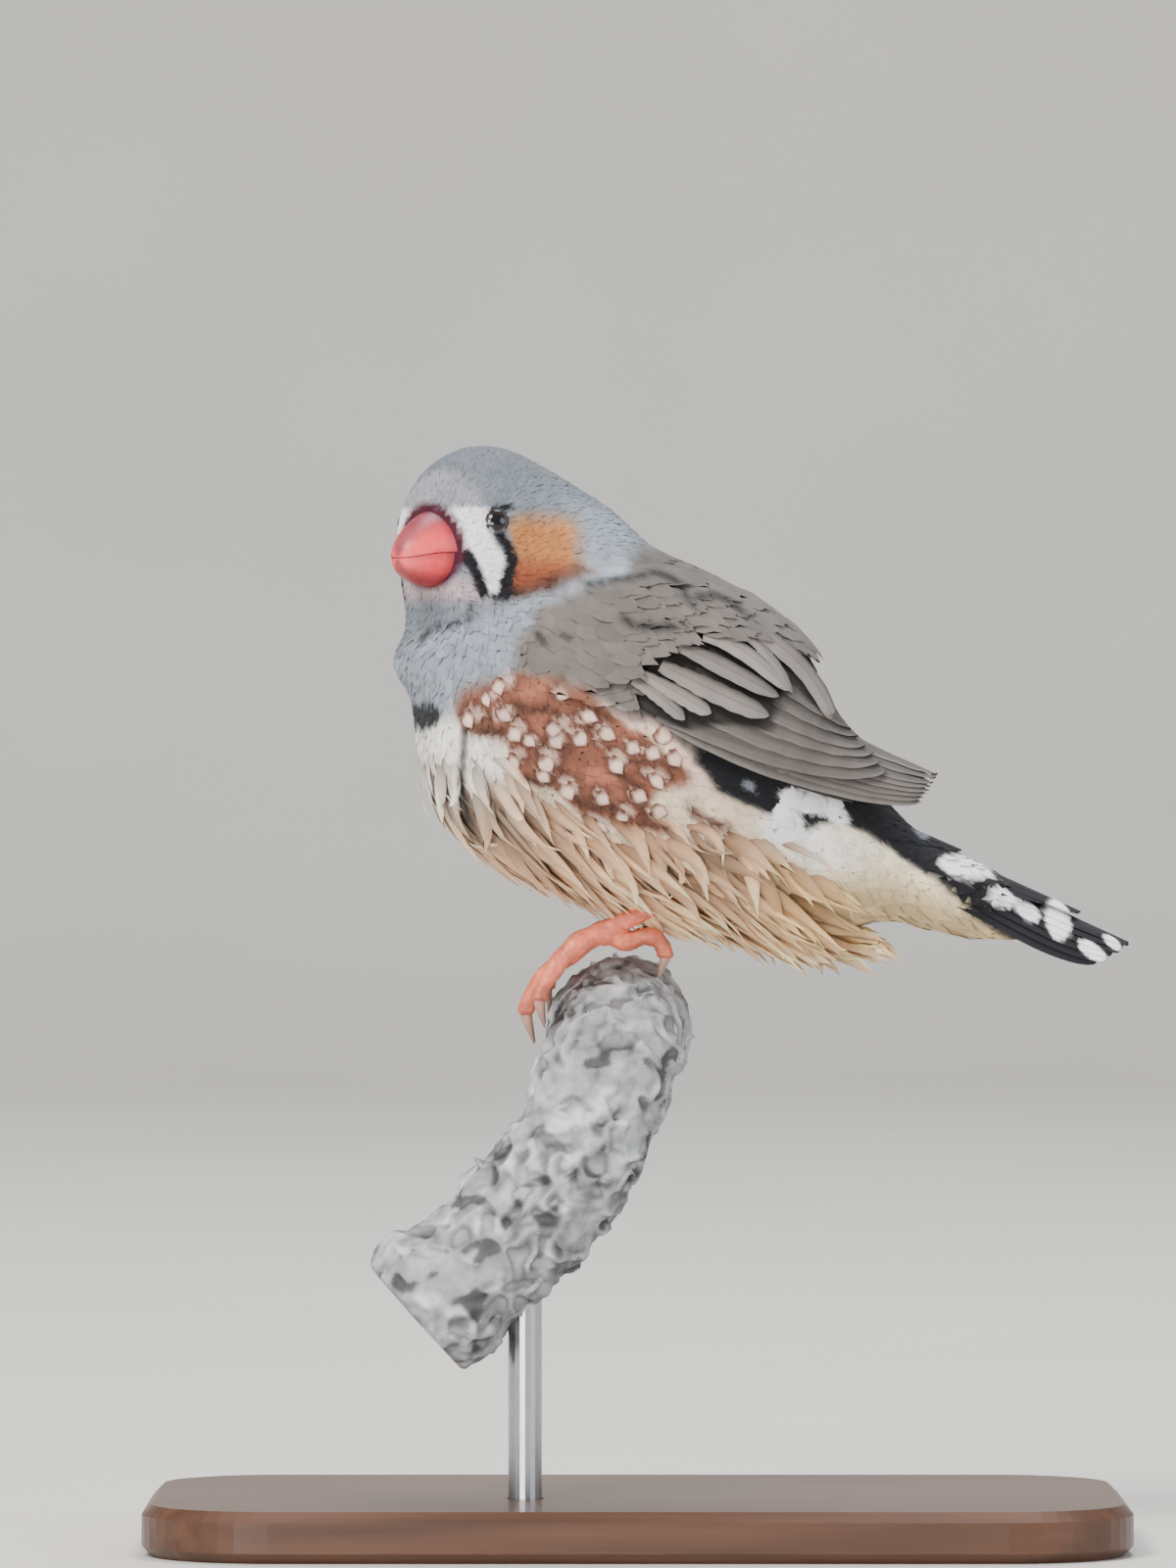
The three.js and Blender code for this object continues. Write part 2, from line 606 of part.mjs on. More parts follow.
function torsoSolid() {
  const form = bodyFrom(SPINE_AT, ALONG, 30, 24, 1.35);
  const locks = LOCK_ROWS.flatMap((row) => {
    return Array.from({ length: LOCKS_ACROSS }, (_, order) => bellyLock(row, order));
  });
  return joined([form, ...locks]);
}

// Branch, with a few swellings
const BRANCH_CURVE = new THREE.CatmullRomCurve3(BRANCH_PATH.map((p) => new THREE.Vector3(...p)));

function branchRadius(share, angle) {
  const swelling = 0.35 * Math.sin(share * 23) + 0.3 * Math.sin(3 * angle + share * 9);
  const knot = 0.9 * Math.exp(-(((share - 0.06) / 0.05) ** 2));
  return BRANCH_R + swelling * 0.7 + knot;
}

function branchSolid() {
  return bentRod(BRANCH_CURVE, branchRadius, 14, 18);
}

// Close steps along the branch, to measure from
const BRANCH_STEPS = 240;
const BRANCH_FRAMES = BRANCH_CURVE.computeFrenetFrames(BRANCH_STEPS, false);
const BRANCH_POINTS = BRANCH_CURVE.getSpacedPoints(BRANCH_STEPS);

// A point pushed out of the branch until a toe of the given radius clears it
function clearOfBranch(point, radius) {
  const near = BRANCH_POINTS.reduce((best, on, i) => {
    return on.distanceTo(point) < BRANCH_POINTS[best].distanceTo(point) ? i : best;
  }, 0);
  const away = point.clone().sub(BRANCH_POINTS[near]);
  const angle = Math.atan2(away.dot(BRANCH_FRAMES.binormals[near]), away.dot(BRANCH_FRAMES.normals[near]));
  const least = branchRadius(near / BRANCH_STEPS, angle) + TOE_CLEAR + radius;
  return away.length() < least ? BRANCH_POINTS[near].clone().addScaledVector(away.normalize(), least) : point;
}

function toeSolid(curve) {
  return bentRod(curve, (share) => TOE_R * (1.06 - 0.2 * share + 0.07 * Math.cos(share * 19)), 8, 7);
}

function clawSolid(curve) {
  return bentRod(curve, (share) => CLAW_R * (1 - 0.85 * share), 7, 4);
}

// One toe's path from its base to its claw's tip, lying over the branch
function toePath(base, side, toe) {
  const spots = toe.joints.map(([x, y, z]) => new THREE.Vector3(base.x + x, base.y + side * y, base.z + z));
  const tip = new THREE.Vector3(base.x + toe.claw[0], base.y + side * toe.claw[1], base.z + toe.claw[2]);
  const rough = new THREE.CatmullRomCurve3([base, ...spots, tip]);
  const settled = Array.from({ length: 10 }, (_, i) => {
    const radius = i < 7 ? TOE_R * 1.1 : CLAW_R;
    return clearOfBranch(rough.getPointAt(i / 9), radius);
  });
  return new THREE.CatmullRomCurve3(settled);
}

function stretch(path, from, to, count) {
  return new THREE.CatmullRomCurve3(Array.from({ length: count }, (_, i) => {
    return path.getPointAt(THREE.MathUtils.lerp(from, to, i / (count - 1)));
  }));
}

function legNodes(side, word) {
  const base = clearOfBranch(TOE_BASE.clone().setY(side * FOOT_SIDE), TOE_R * 1.3);
  const nodes = [];
  const toes = [];
  for (const toe of TOES) {
    const path = toePath(base, side, toe);
    const gap = GAP / path.getLength();
    toes.push(toeSolid(stretch(path, 0, 1 - CLAW_SHARE, 6)));
    const claw = clawSolid(stretch(path, 1 - CLAW_SHARE + 2.3 * gap, 1, 4));
    nodes.push(meshOf(`claw_${word}_${toe.name}`, claw, "claw"));
  }
  const pad = new THREE.SphereGeometry(TOE_R * 1.35, 9, 6);
  pad.translate(base.x + 0.3, base.y, base.z - 0.4);
  const foot = joined([...toes, solidOf(pad)]);
  const top = TARSUS_TOP.clone().setY(side * FOOT_SIDE);
  const climb = top.clone().sub(base).normalize();
  const ankle = base.clone().addScaledVector(climb, TARSUS_START);
  const shank = new THREE.LineCurve3(ankle, top);
  const grownShank = new THREE.LineCurve3(
    ankle.clone().addScaledVector(climb, -GAP),
    top.clone().addScaledVector(climb, GAP),
  );
  const tarsusAt = (share) => TARSUS_R * (1 + 0.12 * share);
  const socket = bentRod(grownShank, (share) => tarsusAt(share) + GAP, 9, 3);
  nodes.push(meshOf(`foot_${word}`, foot.subtract(socket), "foot"));
  nodes.push(meshOf(`leg_${word}`, bentRod(shank, tarsusAt, 9, 3), "foot"));
  return { nodes, socket };
}

function standNodes() {
  const outline = new THREE.Shape();
  const [x, y] = [BASE_LENGTH / 2 - BASE_EDGE, BASE_WIDTH / 2 - BASE_EDGE];
  const r = BASE_CORNER_R;
  outline.moveTo(-x + r, -y);
  outline.lineTo(x - r, -y);
  outline.absarc(x - r, -y + r, r, -Math.PI / 2, 0);
  outline.absarc(x - r, y - r, r, 0, Math.PI / 2);
  outline.absarc(-x + r, y - r, r, Math.PI / 2, Math.PI);
  outline.absarc(-x + r, -y + r, r, Math.PI, 1.5 * Math.PI);
  const slab = new THREE.ExtrudeGeometry(outline, {
    depth: BASE_THICK - 2 * BASE_EDGE,
    bevelThickness: BASE_EDGE,
    bevelSize: BASE_EDGE,
    bevelSegments: 1,
    curveSegments: 6,
  });
  slab.translate(0, 0, BASE_EDGE);
  const rodOf = (radius, from, to) => {
    const rod = new THREE.CylinderGeometry(radius, radius, to - from, 20);
    rod.rotateX(Math.PI / 2);
    rod.translate(ROD_AT.x, ROD_AT.y, (from + to) / 2);
    return solidOf(rod);
  };
  const low = BASE_THICK - ROD_SINK;
  const socket = rodOf(ROD_R + GAP, low - GAP, ROD_TOP + GAP);
  return [
    meshOf("stand_base", solidOf(slab).subtract(socket), "wood"),
    meshOf("stand_rod", rodOf(ROD_R, low, ROD_TOP), "steel"),
    meshOf("perch_branch", branchSolid().subtract(socket), "bark"),
  ];
}

// Cuts between head, neck and torso, square to the neck
const neckAxis = new THREE.Vector3(-Math.sin(NECK_PITCH), 0, Math.cos(NECK_PITCH));
const neckLow = NECK_TOP.clone().addScaledVector(neckAxis, -NECK_THICK);
const aboveNeck = halfSpace(NECK_TOP.clone().addScaledVector(neckAxis, GAP / 2), neckAxis);
const belowHead = halfSpace(NECK_TOP.clone().addScaledVector(neckAxis, -GAP / 2), neckAxis.clone().negate());
const aboveTorso = halfSpace(neckLow.clone().addScaledVector(neckAxis, GAP / 2), neckAxis);
const belowNeck = halfSpace(neckLow.clone().addScaledVector(neckAxis, -GAP / 2), neckAxis.clone().negate());

const leftLeg = legNodes(-1, "left");
const rightLeg = legNodes(1, "right");
const torso = torsoSolid()
  .intersect(belowNeck)
  .subtract(leftLeg.socket)
  .subtract(rightLeg.socket)
  .subtract(tailRoom());

const finch = new THREE.Group();
finch.name = "zebra_finch";
finch.add(...headNodes(aboveNeck, belowHead.intersect(aboveTorso)));
finch.add(meshOf("torso", torso, "cream"));
finch.add(meshOf("wing_left", wingSolid(-1), "mantle"));
finch.add(meshOf("wing_right", wingSolid(1), "mantle"));
finch.add(meshOf("tail", tailSolid(), "black"));
finch.add(...leftLeg.nodes, ...rightLeg.nodes);
finch.add(...standNodes());

export default finch;
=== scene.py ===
"""Zebra finch on a short perch, dressed over its solids for a museum-like render.

Lengths in this file are millimetres wherever a name or comment doesn't say metres.
The bird faces -X, its left side is towards -Y, and up is +Z.
"""
import itertools
import math
from types import SimpleNamespace

import bpy
import numpy as np
from bpy.props import FloatProperty, FloatVectorProperty, PointerProperty
from bpy.types import Operator, Panel, PropertyGroup
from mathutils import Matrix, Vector


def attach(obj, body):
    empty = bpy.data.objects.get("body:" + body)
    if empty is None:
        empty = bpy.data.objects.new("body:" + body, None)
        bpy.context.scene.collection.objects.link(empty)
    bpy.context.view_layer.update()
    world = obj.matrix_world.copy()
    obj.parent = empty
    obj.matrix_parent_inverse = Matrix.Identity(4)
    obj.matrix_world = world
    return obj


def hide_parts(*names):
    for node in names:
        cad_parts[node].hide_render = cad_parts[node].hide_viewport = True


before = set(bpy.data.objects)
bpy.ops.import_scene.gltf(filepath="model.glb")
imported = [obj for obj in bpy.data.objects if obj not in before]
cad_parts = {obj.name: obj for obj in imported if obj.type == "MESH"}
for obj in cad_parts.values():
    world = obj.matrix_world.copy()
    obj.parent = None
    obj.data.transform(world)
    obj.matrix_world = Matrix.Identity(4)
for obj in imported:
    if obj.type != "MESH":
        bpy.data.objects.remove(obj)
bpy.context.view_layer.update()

bl_info = {
    "name": "Zebra finch display model",
    "version": (1, 0, 0),
    "blender": (4, 5, 0),
    "location": "3D View > Sidebar > Finch",
    "description": "Builds the feathers, bill, eyes, feet, perch and stand of a zebra finch model",
    "category": "Object",
}

MM = 0.001
FULL_TURN = 6.2832
# Odd numbers that mix a place and a seed into a random value
MIXERS = np.array([73856093, 19349663, 83492791])
SEED_MIXER, LAST_MIXER = 2654435761, 1274126177

# Body and head as ellipsoids: centre, half lengths, and the body's downward pitch towards the tail
BODY_FORMS = {
    "breast": ((-9.2, 0, 99.4), (17.1, 17.4, 18.9), 19),
    "belly": ((1.9, 0, 94.4), (24.4, 18.6, 18.3), 23),
    "mantle": ((2, 0, 105.5), (19.2, 14.5, 11.3), 22),
    "vent": ((16.5, 0, 84), (15.9, 11.5, 11.3), 19),
    "undertail": ((29.7, 0, 79.9), (19.4, 6.2, 5.3), 20),
    "throat": ((-18.1, -1, 110.7), (9.3, 9, 7.9), 0),
    "nape": ((-9.8, 0, 116.9), (12.1, 10.4, 8.6), 28),
    "bib": ((-20.1, 0, 104.5), (8.7, 10.5, 4.4), 0),
}
HEAD_FORMS = {
    "skull": ((0, 0, 0.2), (10.4, 9.6, 10.5)),
    "left_cheek": ((-2.4, 3.8, -2), (8.2, 6.6, 7.6)),
    "right_cheek": ((-2.4, -3.8, -2), (8.2, 6.6, 7.6)),
    "face": ((4.2, 0, -2.2), (5.6, 6, 7.2)),
}
BODY_BLEND = 3.6

# Head axes, forward, left and up, from the middle of the skull
HEAD_AT = np.array([-18.2, -1, 119.5])
HEAD_YAW = math.radians(50)
HEAD_AXES = np.array([
    [-math.cos(HEAD_YAW), -math.sin(HEAD_YAW), 0],
    [math.sin(HEAD_YAW), -math.cos(HEAD_YAW), 0],
    [0, 0, 1],
])
EYE_TOWARDS = np.array([5.5, 6.5, 1.27])
BILL_ROOT = HEAD_AT + np.array([10.5, 0, -0.8]) @ HEAD_AXES
BILL_BASE = 5.4
NECK_PITCH = math.radians(23)
# How far apart the points lie that give the outline's slope
SLOPE_STEP = 0.05

# Eyeballs, how far they stand out of the face, and the rings of the lids
EYE_RADIUS, EYE_PROUD = 2.1, 0.16
LID_STEPS, LID_SEGMENTS = 72, 12

# Spine line, along towards the tail and over towards the back
SPINE_AT = np.array([1.8, 0, 94.3])
SPINE_PITCH = math.radians(25)
ALONG = np.array([math.cos(SPINE_PITCH), 0, -math.sin(SPINE_PITCH)])
OVER = np.array([math.sin(SPINE_PITCH), 0, math.cos(SPINE_PITCH)])

# Markings of the head, as outlines and strokes over its side: forward, up
LORE = [(9.8, 3), (8.4, 3.2), (7, 3.1), (7.5, 0.6), (7.1, -0.7), (6.4, -2), (6, -3), (6.2, -4.3), (6.3, -7.3),
        (6.9, -7.3), (7.4, -5.4), (8.2, -3.6), (9, -2.1), (9.6, -0.8), (9.9, 1)]
TEAR_LINE = [(9.5, -1.4), (9.1, -2.4), (8.4, -4), (7.8, -5.5), (7.3, -7.2)]
EYE_LINE = [(6.4, -0.2), (5.8, -1.7), (5.4, -3.2), (5.7, -5), (5.8, -6.6), (6.4, -7.6)]
BROW_LINE = [(6.2, 2.8), (5.4, 3.1), (4.8, 3.3)]
CHEEK = [(5.4, 0.6), (4.9, 2.4), (2.7, 3), (-0.7, 3.1), (-1.9, 2.2), (-0.9, -0.5), (0.3, -3.8), (2, -5),
         (3.3, -6), (4.7, -6.8), (5.5, -7.2), (5.4, -5.9), (5.1, -4), (5.1, -2.3), (5.4, -0.8)]
CHEEK_EDGE = [(5.4, -7), (4.5, -6.6), (3.3, -5.9), (2, -5), (0.6, -4.2)]

# Markings of the body, as outlines over its side: x, z
BIB = [(-36, 116), (-10.5, 113.5), (-11.7, 109.9), (-15.7, 102.9), (-20.9, 101), (-21.9, 97.6),
       (-26.2, 96.4), (-36, 97)]
MANTLE = [(-12.2, 110.9), (-5.8, 113.4), (-1.2, 114.6), (-1, 117), (0.6, 121), (3.5, 127), (24, 118),
          (44, 86), (39, 83.1), (24.4, 87.6), (10.5, 90.7), (0.5, 97.9), (-3.4, 98.8), (-6.2, 101.2), (-14, 103.6),
          (-14.4, 106.4), (-12.2, 108.7)]
NAPE = [(-20, 108.7), (-12.6, 110.8), (-5.8, 113.5), (-1.2, 114.7), (-1, 117.1), (1, 123), (-10, 128),
        (-20, 126)]
NAPE_LIGHT = [(-7.8, 122.6), (-1, 121.6), (2.4, 117), (-2, 114.4), (-6.6, 113.2), (-14.2, 110.4), (-14.4, 112.2),
              (-7.6, 115.6)]
CHESTNUT = [(-21.9, 99.9), (-20.9, 101.5), (-18, 102.9), (-15.1, 103.6), (-10.5, 103.8), (-6.2, 102.8), (-4.8, 100.4),
            (-2.6, 98), (-1, 95.9), (1.4, 95.7), (4.7, 93), (6.4, 91), (5.8, 90.1), (2.1, 89.5), (1.2, 86.6),
            (3.5, 84.9), (2.6, 84.3), (-1.2, 85.2), (-5.8, 86.4), (-7.7, 87.6), (-9.8, 89.4), (-11.6, 89.9),
            (-14, 91.3), (-14.9, 92.9), (-15.1, 95.3), (-20, 95.9), (-21.4, 97.7)]
# Pale drops on the flank: x, z, half lengths, tilt in degrees
DROPS = [(-15.3, 102.3, 1, 0.8, 0), (-7.7, 102.3, 0.8, 0.8, 0), (-9.1, 100.8, 0.9, 0.8, 0),
         (-19.1, 98.4, 1.2, 0.8, 0), (-15.7, 98.4, 1.5, 0.7, 15), (-13.8, 96.6, 1, 0.9, 0), (-8.7, 97.3, 0.9, 0.8, 0),
         (-6.3, 98, 1.4, 0.7, 20), (-9.5, 95.8, 1, 0.8, -10), (-6.9, 95.8, 0.9, 0.8, -40), (-4.1, 96.2, 1.5, 0.7, 65),
         (-14, 93.6, 1, 0.7, 0), (-10.3, 93.4, 1.2, 0.9, -20), (-11, 91.3, 0.8, 0.7, 0), (-2.3, 93.1, 1.3, 0.8, -25),
         (-0.6, 94.4, 0.9, 0.7, 0), (1.4, 93.8, 1, 0.8, 0), (2.4, 95.9, 1.2, 1, 0), (-8.1, 89.9, 1.3, 1, -30),
         (-0.1, 88.8, 1, 0.8, -25), (-12.2, 95.3, 0.7, 0.6, 0), (-4.4, 88.8, 0.9, 0.8, 20),
         (4.5, 93.6, 1.2, 0.8, -20), (2.3, 86.7, 1, 0.9, 0), (2.1, 91.2, 1.7, 0.6, -8), (-1.3, 87.1, 0.9, 0.7, -20),
         (-5.8, 102.9, 0.7, 0.6, 0), (-16.9, 100.4, 0.8, 0.5, 0), (-12.9, 88.9, 1.3, 0.6, -30),
         (-4.6, 85.9, 1.3, 0.5, -10)]
# White feather tips of the rump: x, z, half lengths, tilt in degrees
RUMP_TIPS = [(17.6, 89.2, 1.7, 1.2, 0), (20, 88.6, 1.8, 1.3, 0), (22.6, 87.4, 1.5, 1.1, 0), (16, 86.4, 1.8, 1.2, 0),
             (18, 86.6, 1.4, 1, 0), (16.6, 84.4, 2, 1.3, 0), (18.4, 84.2, 1.2, 0.9, 0)]
# Painted shade between the drops and in folds of the coat: half width, then x, z. Lighter blotches: as the drops
FLANK_SHADE = [(0.55, (-20, 96.6), (-17, 96.2), (-15.1, 96.1)), (0.5, (-11.8, 94.8), (-9.8, 94.6), (-7.9, 94.2)),
              (0.4, (-13.1, 90.9), (-11.4, 90), (-10.1, 90.1), (-9.3, 91.7), (-8.7, 93.2)),
              (0.5, (-3.4, 92), (-2, 91.2), (-0.6, 90.3), (0.8, 88.7)), (0.5, (-7, 88), (-5.1, 87.4), (-2.8, 87.3)),
              (0.4, (0.8, 87.8), (0.6, 85.7)), (0.3, (-1.2, 85.5), (1.4, 85.2), (3.5, 84.8)),
              (0.5, (6.3, 87), (8.1, 85.7), (10.6, 84.9)), (0.4, (-9.6, 98.3), (-10.5, 96.6)),
              (0.4, (-5, 97.4), (-5.7, 96.3)), (0.3, (-0.6, 92.6), (2.1, 92.6), (4.7, 92.1)),
              (0.5, (-14.3, 99.4), (-12.8, 98.6), (-10.8, 98.9))]
FLANK_LIGHT = [(-4.3, 91, 2.2, 1.1, -5), (-12, 101.2, 2, 1.2, 20), (-11.5, 98, 1.3, 1.6, 10)]
# Painted shade in creases of the coat on the back, breast and bib: half width, then x, z
CREASE_SHADE = [(0.35, (-5.8, 113.6), (-1.2, 114.3), (2.3, 115), (4.7, 114), (5.8, 112), (6.6, 110.8)),
         (0.35, (7.2, 112), (9, 112.4), (11.3, 111.4), (12.6, 110.1)),
         (0.35, (-1.7, 109.7), (-0.8, 108.7), (1.4, 108.4), (5, 108.5), (6.2, 109.1)),
         (0.4, (-20.3, 96.5), (-20.5, 92.4), (-20.9, 90.1), (-19.5, 84.3), (-18.8, 79.7)),
         (0.3, (-25.6, 106.9), (-24.3, 108.3), (-21.5, 108.8), (-19.8, 109.7), (-19.4, 110.9)),
         (0.4, (-11.6, 107.6), (-11.2, 106.9)), (0.35, (-8.7, 107.4), (-8, 107.2))]
RUMP = [(6, 93.5), (30, 89), (34, 81), (27, 80.5), (14, 81.5), (10, 87)]
FLANK_WHITE = [(-3.8, 98.5), (-1.2, 99.2), (2.1, 98), (5.8, 94.5), (9.9, 90.1), (9.1, 88.4), (5.8, 90.1), (4.7, 93),
               (1.4, 95.7), (-1.2, 96.5)]
WHITE_BREAST = [(-36, 97.4), (-21.4, 97.6), (-15.1, 92.9), (-17.4, 90.1), (-20.9, 87.4), (-25.6, 88.1),
                (-36, 90.3)]
BREAST_BAND = [(-36, 99.2), (-26.6, 99.5), (-24.8, 99.8), (-23.2, 98.9), (-23.3, 97.4), (-24.2, 96.4), (-25.6, 96.7),
               (-36, 97.8)]
TAIL_DARK = [(6.5, 93), (10, 99), (30, 97), (46, 86), (60, 74), (60, 62), (50.6, 66.4),
             (45.3, 70.7), (41, 73.6), (35.6, 78.8), (31.6, 81.3), (26.7, 84.6), (23.3, 85.6), (19.3, 84.9),
             (16.3, 86), (12.8, 87.6), (9.4, 89.3)]
UNDERTAIL = [(15.1, 84.1), (24.4, 86.6), (36, 82.8), (48.3, 75.8), (50.5, 66.9), (36, 70.3), (24.4, 69.5),
             (15.1, 73.8)]
# White and grey marks of rump, tail coverts and vent: x, z, half lengths, tilt in degrees
TAIL_SPOTS = [(20.4, 87.9, 3.9, 1.3, -14), (17.2, 85.2, 2.3, 2.1, 0), (23.6, 86.4, 1.5, 1, -30),
              (38.9, 80.4, 3.2, 1.3, -8), (43.2, 76.6, 1.7, 1, -20), (46.1, 75.2, 1.8, 1, -38),
              (49.8, 74.1, 1.5, 2.5, 12), (53.9, 70.3, 2, 0.9, -35), (56.3, 71.3, 1.3, 0.6, -40)]
TAIL_GREY_SPOTS = [(13, 89.9, 0.9, 0.55, -30), (33.8, 84.5, 1.1, 0.85, -45)]
VENT = [(20.5, 82.6, 6.5, 3.2, -22)]
# Height over which the bib's grey reaches round the neck
BIB_BASE = 103.4

# Branch, legs and feet. Toes are given from their base: towards the tail, outwards and up
BRANCH_PATH = [(-26, -10.5, 27.2), (-15.6, -10, 36.6), (-7, -9, 47.5), (-3.4, -5.2, 57),
               (-2.2, 3, 60.8), (-1.6, 16, 60.6)]
BRANCH_R = 7.8
TOE_BASE = (-4.1, 72.6)
TOE_R, CLAW_R = 1.12, 0.74
# Share of a toe's line after which its claw begins
CLAW_FROM = 0.8
FOOT_SIDE = 5.6
TARSUS_TOP = (8.4, 78.8)
TOES = {
    "hind": [(2.7, -0.6, -1.1), (5.8, -0.6, -0.5), (7.4, -0.4, -2.4), (6.6, -0.2, -5.4)],
    "inner": [(-2.8, -1.7, -1.2), (-5.2, -2.9, -3.6), (-6.6, -3.4, -6.8), (-5.8, -3.6, -9.8)],
    "middle": [(-3.4, 0, -2.4), (-6.6, 0.1, -5), (-9, 0.2, -9), (-8, 0.2, -13.2)],
    "outer": [(-2.8, 1.8, -1.4), (-5.4, 3.2, -4), (-7.4, 3.8, -7.6), (-6.8, 4, -11.2)],
}

# Tail line
TAIL_ROOT = np.array([15, 0, 90])
TAIL_TIP = np.array([57.8, 0, 70.2])
TAIL_TENT = 0.11

# Coat of the breast and belly: x, then the way in which it falls, along and up
FALL = np.array([(-22, 0.30, -0.95), (-12, 0.55, -0.83), (-3, 0.80, -0.60), (6, 0.70, -0.71), (14, 0.60, -0.80),
                 (22, 0.85, -0.50)])
# Height under which the loose locks root: x, z
LOCK_LINE = ([-30, -21, -15, -10, -6, 0, 6, 12, 20, 32], [94, 94, 91.5, 88, 86, 85.5, 85, 84, 80.5, 76])
# Heights of feathers over the outline, from root to tip
DROP_LEVELS = [-0.3, -0.04, 0.1, 0.16, 0.2, 0.2, 0.14]
LOCK_LEVELS = np.array([-0.7, 0, 0.35, 0.6, 0.75, 0.85, 0.95])
SCAPULAR_LEVELS = np.array([-0.3, 0, 0.15, 0.22, 0.25]), np.array([1.1, 1.8, 2.2, 2.4, 2.5])

# Angles by which the bark's lumps are turned, in radians
GRAIN_TURN, GRAIN_LEAN = 0.7, 0.9

# Tints that are needed once, from 0 to 1
CHIN_PINK, FACE_GREY, UNDER_CHEEK = (0.82, 0.70, 0.71), (0.71, 0.68, 0.70), (0.75, 0.70, 0.70)
CHEEK_SHADE, WARM_WHITE, TAIL_GREY = (0.74, 0.60, 0.66), (1, 0.955, 0.86), (0.49, 0.51, 0.55)
# The locks' root tint is painted shade, and their tip tint is painted light
LOCK_SHADE, LOCK_ROOT_SHADE, LOCK_TIP_LIGHT = (0.36, 0.42, 0.46), np.array([1, 0.88, 0.80]), np.array([1.07, 1.02, 0.98])
# The bill's tip tint is a painted highlight, and its under tint is painted shade
BILL_TIP_HIGHLIGHT, BILL_UNDER_SHADE = (0.94, 0.66, 0.63), (0.42, 0.13, 0.15)
PUPIL, IRIS, LID_GREY = (0.08, 0.075, 0.09), (0.22, 0.13, 0.11), (0.12, 0.107, 0.11)
# The bark's pale tint is lichen, and also a painted highlight on its crests
LICHEN_AND_RIDGE_HIGHLIGHT, TIMBER = (0.82, 0.83, 0.84), (0.62, 0.50, 0.37)

# Half width of a feather's shaft, and the size of its patch on the skin's unwrap, as shares of their maps
SHAFT_HALF, BAKE_PATCH = 0.035, 0.003

# Studio, in metres: y and z of the floor and backdrop; each light's name, place, size, power in watts, tint and aim;
# the camera's place, and the height of its sensor in its own millimetres
SWEEP = [(-3.5, 0), (1.8, 0), (1.95, 0.02), (2.07, 0.08), (2.15, 0.18), (2.19, 0.32), (2.2, 0.5), (2.2, 3)]
LIGHTS = [
    ("key", (-0.55, -0.75, 1.05), 0.55, 22.3, (1, 0.97, 0.93), (0, 0, 0.09)),
    ("fill", (0.9, -0.6, 0.45), 0.7, 5.4, (0.9, 0.95, 1), (0, 0, 0.09)),
    ("front", (-0.35, -1, 0.06), 0.5, 8.1, (1, 0.96, 0.93), (0, 0, 0.09)),
    ("top", (0.15, 0.35, 1.1), 0.6, 12.2, (0.97, 0.98, 1), (0, 0, 0.09)),
    ("backdrop", (0, 1, 1.5), 0.9, 16, (1, 0.99, 0.97), (0, 2.2, 0.3)),
]
CAMERA_X, CAMERA_Z = -0.0058, 0.0901
SENSOR = 36


def colour_of(name, description, red, green, blue):
    """A colour setting, from the 0 to 255 values that a colour picker shows."""
    return FloatVectorProperty(name=name, description=description, subtype="COLOR_GAMMA", size=3, min=0, max=1,
                               default=(red / 255, green / 255, blue / 255))


def length_of(name, description, metres):
    """A length setting, in metres."""
    return FloatProperty(name=name, description=description, default=metres, min=0.1 * MM, unit="LENGTH")


class FinchSizes(PropertyGroup):
    """Sizes of the coat, eyes and stage"""
    coat_depth: length_of("Coat depth", "Skin's depth under the feathered outline", 0.9 * MM)
    head_spacing: length_of("Head spacing", "Distance between feathers of the head", 0.43 * MM)
    body_spacing: length_of("Body spacing", "Distance between feathers of the body", 0.95 * MM)
    lock_spacing: length_of("Lock spacing", "Distance between locks of the belly", 1.42 * MM)
    eye_radius: length_of("Eye radius", "Radius of the eyeball", EYE_RADIUS * MM)
    lid_radius: length_of("Lid radius", "Radius of the lids' edge", 1.35 * MM)
    camera_distance: length_of("Camera distance", "From the camera to the bird", 1.2)
    frame_height: length_of("Frame height", "Height that the picture takes in at the bird", 0.18605)


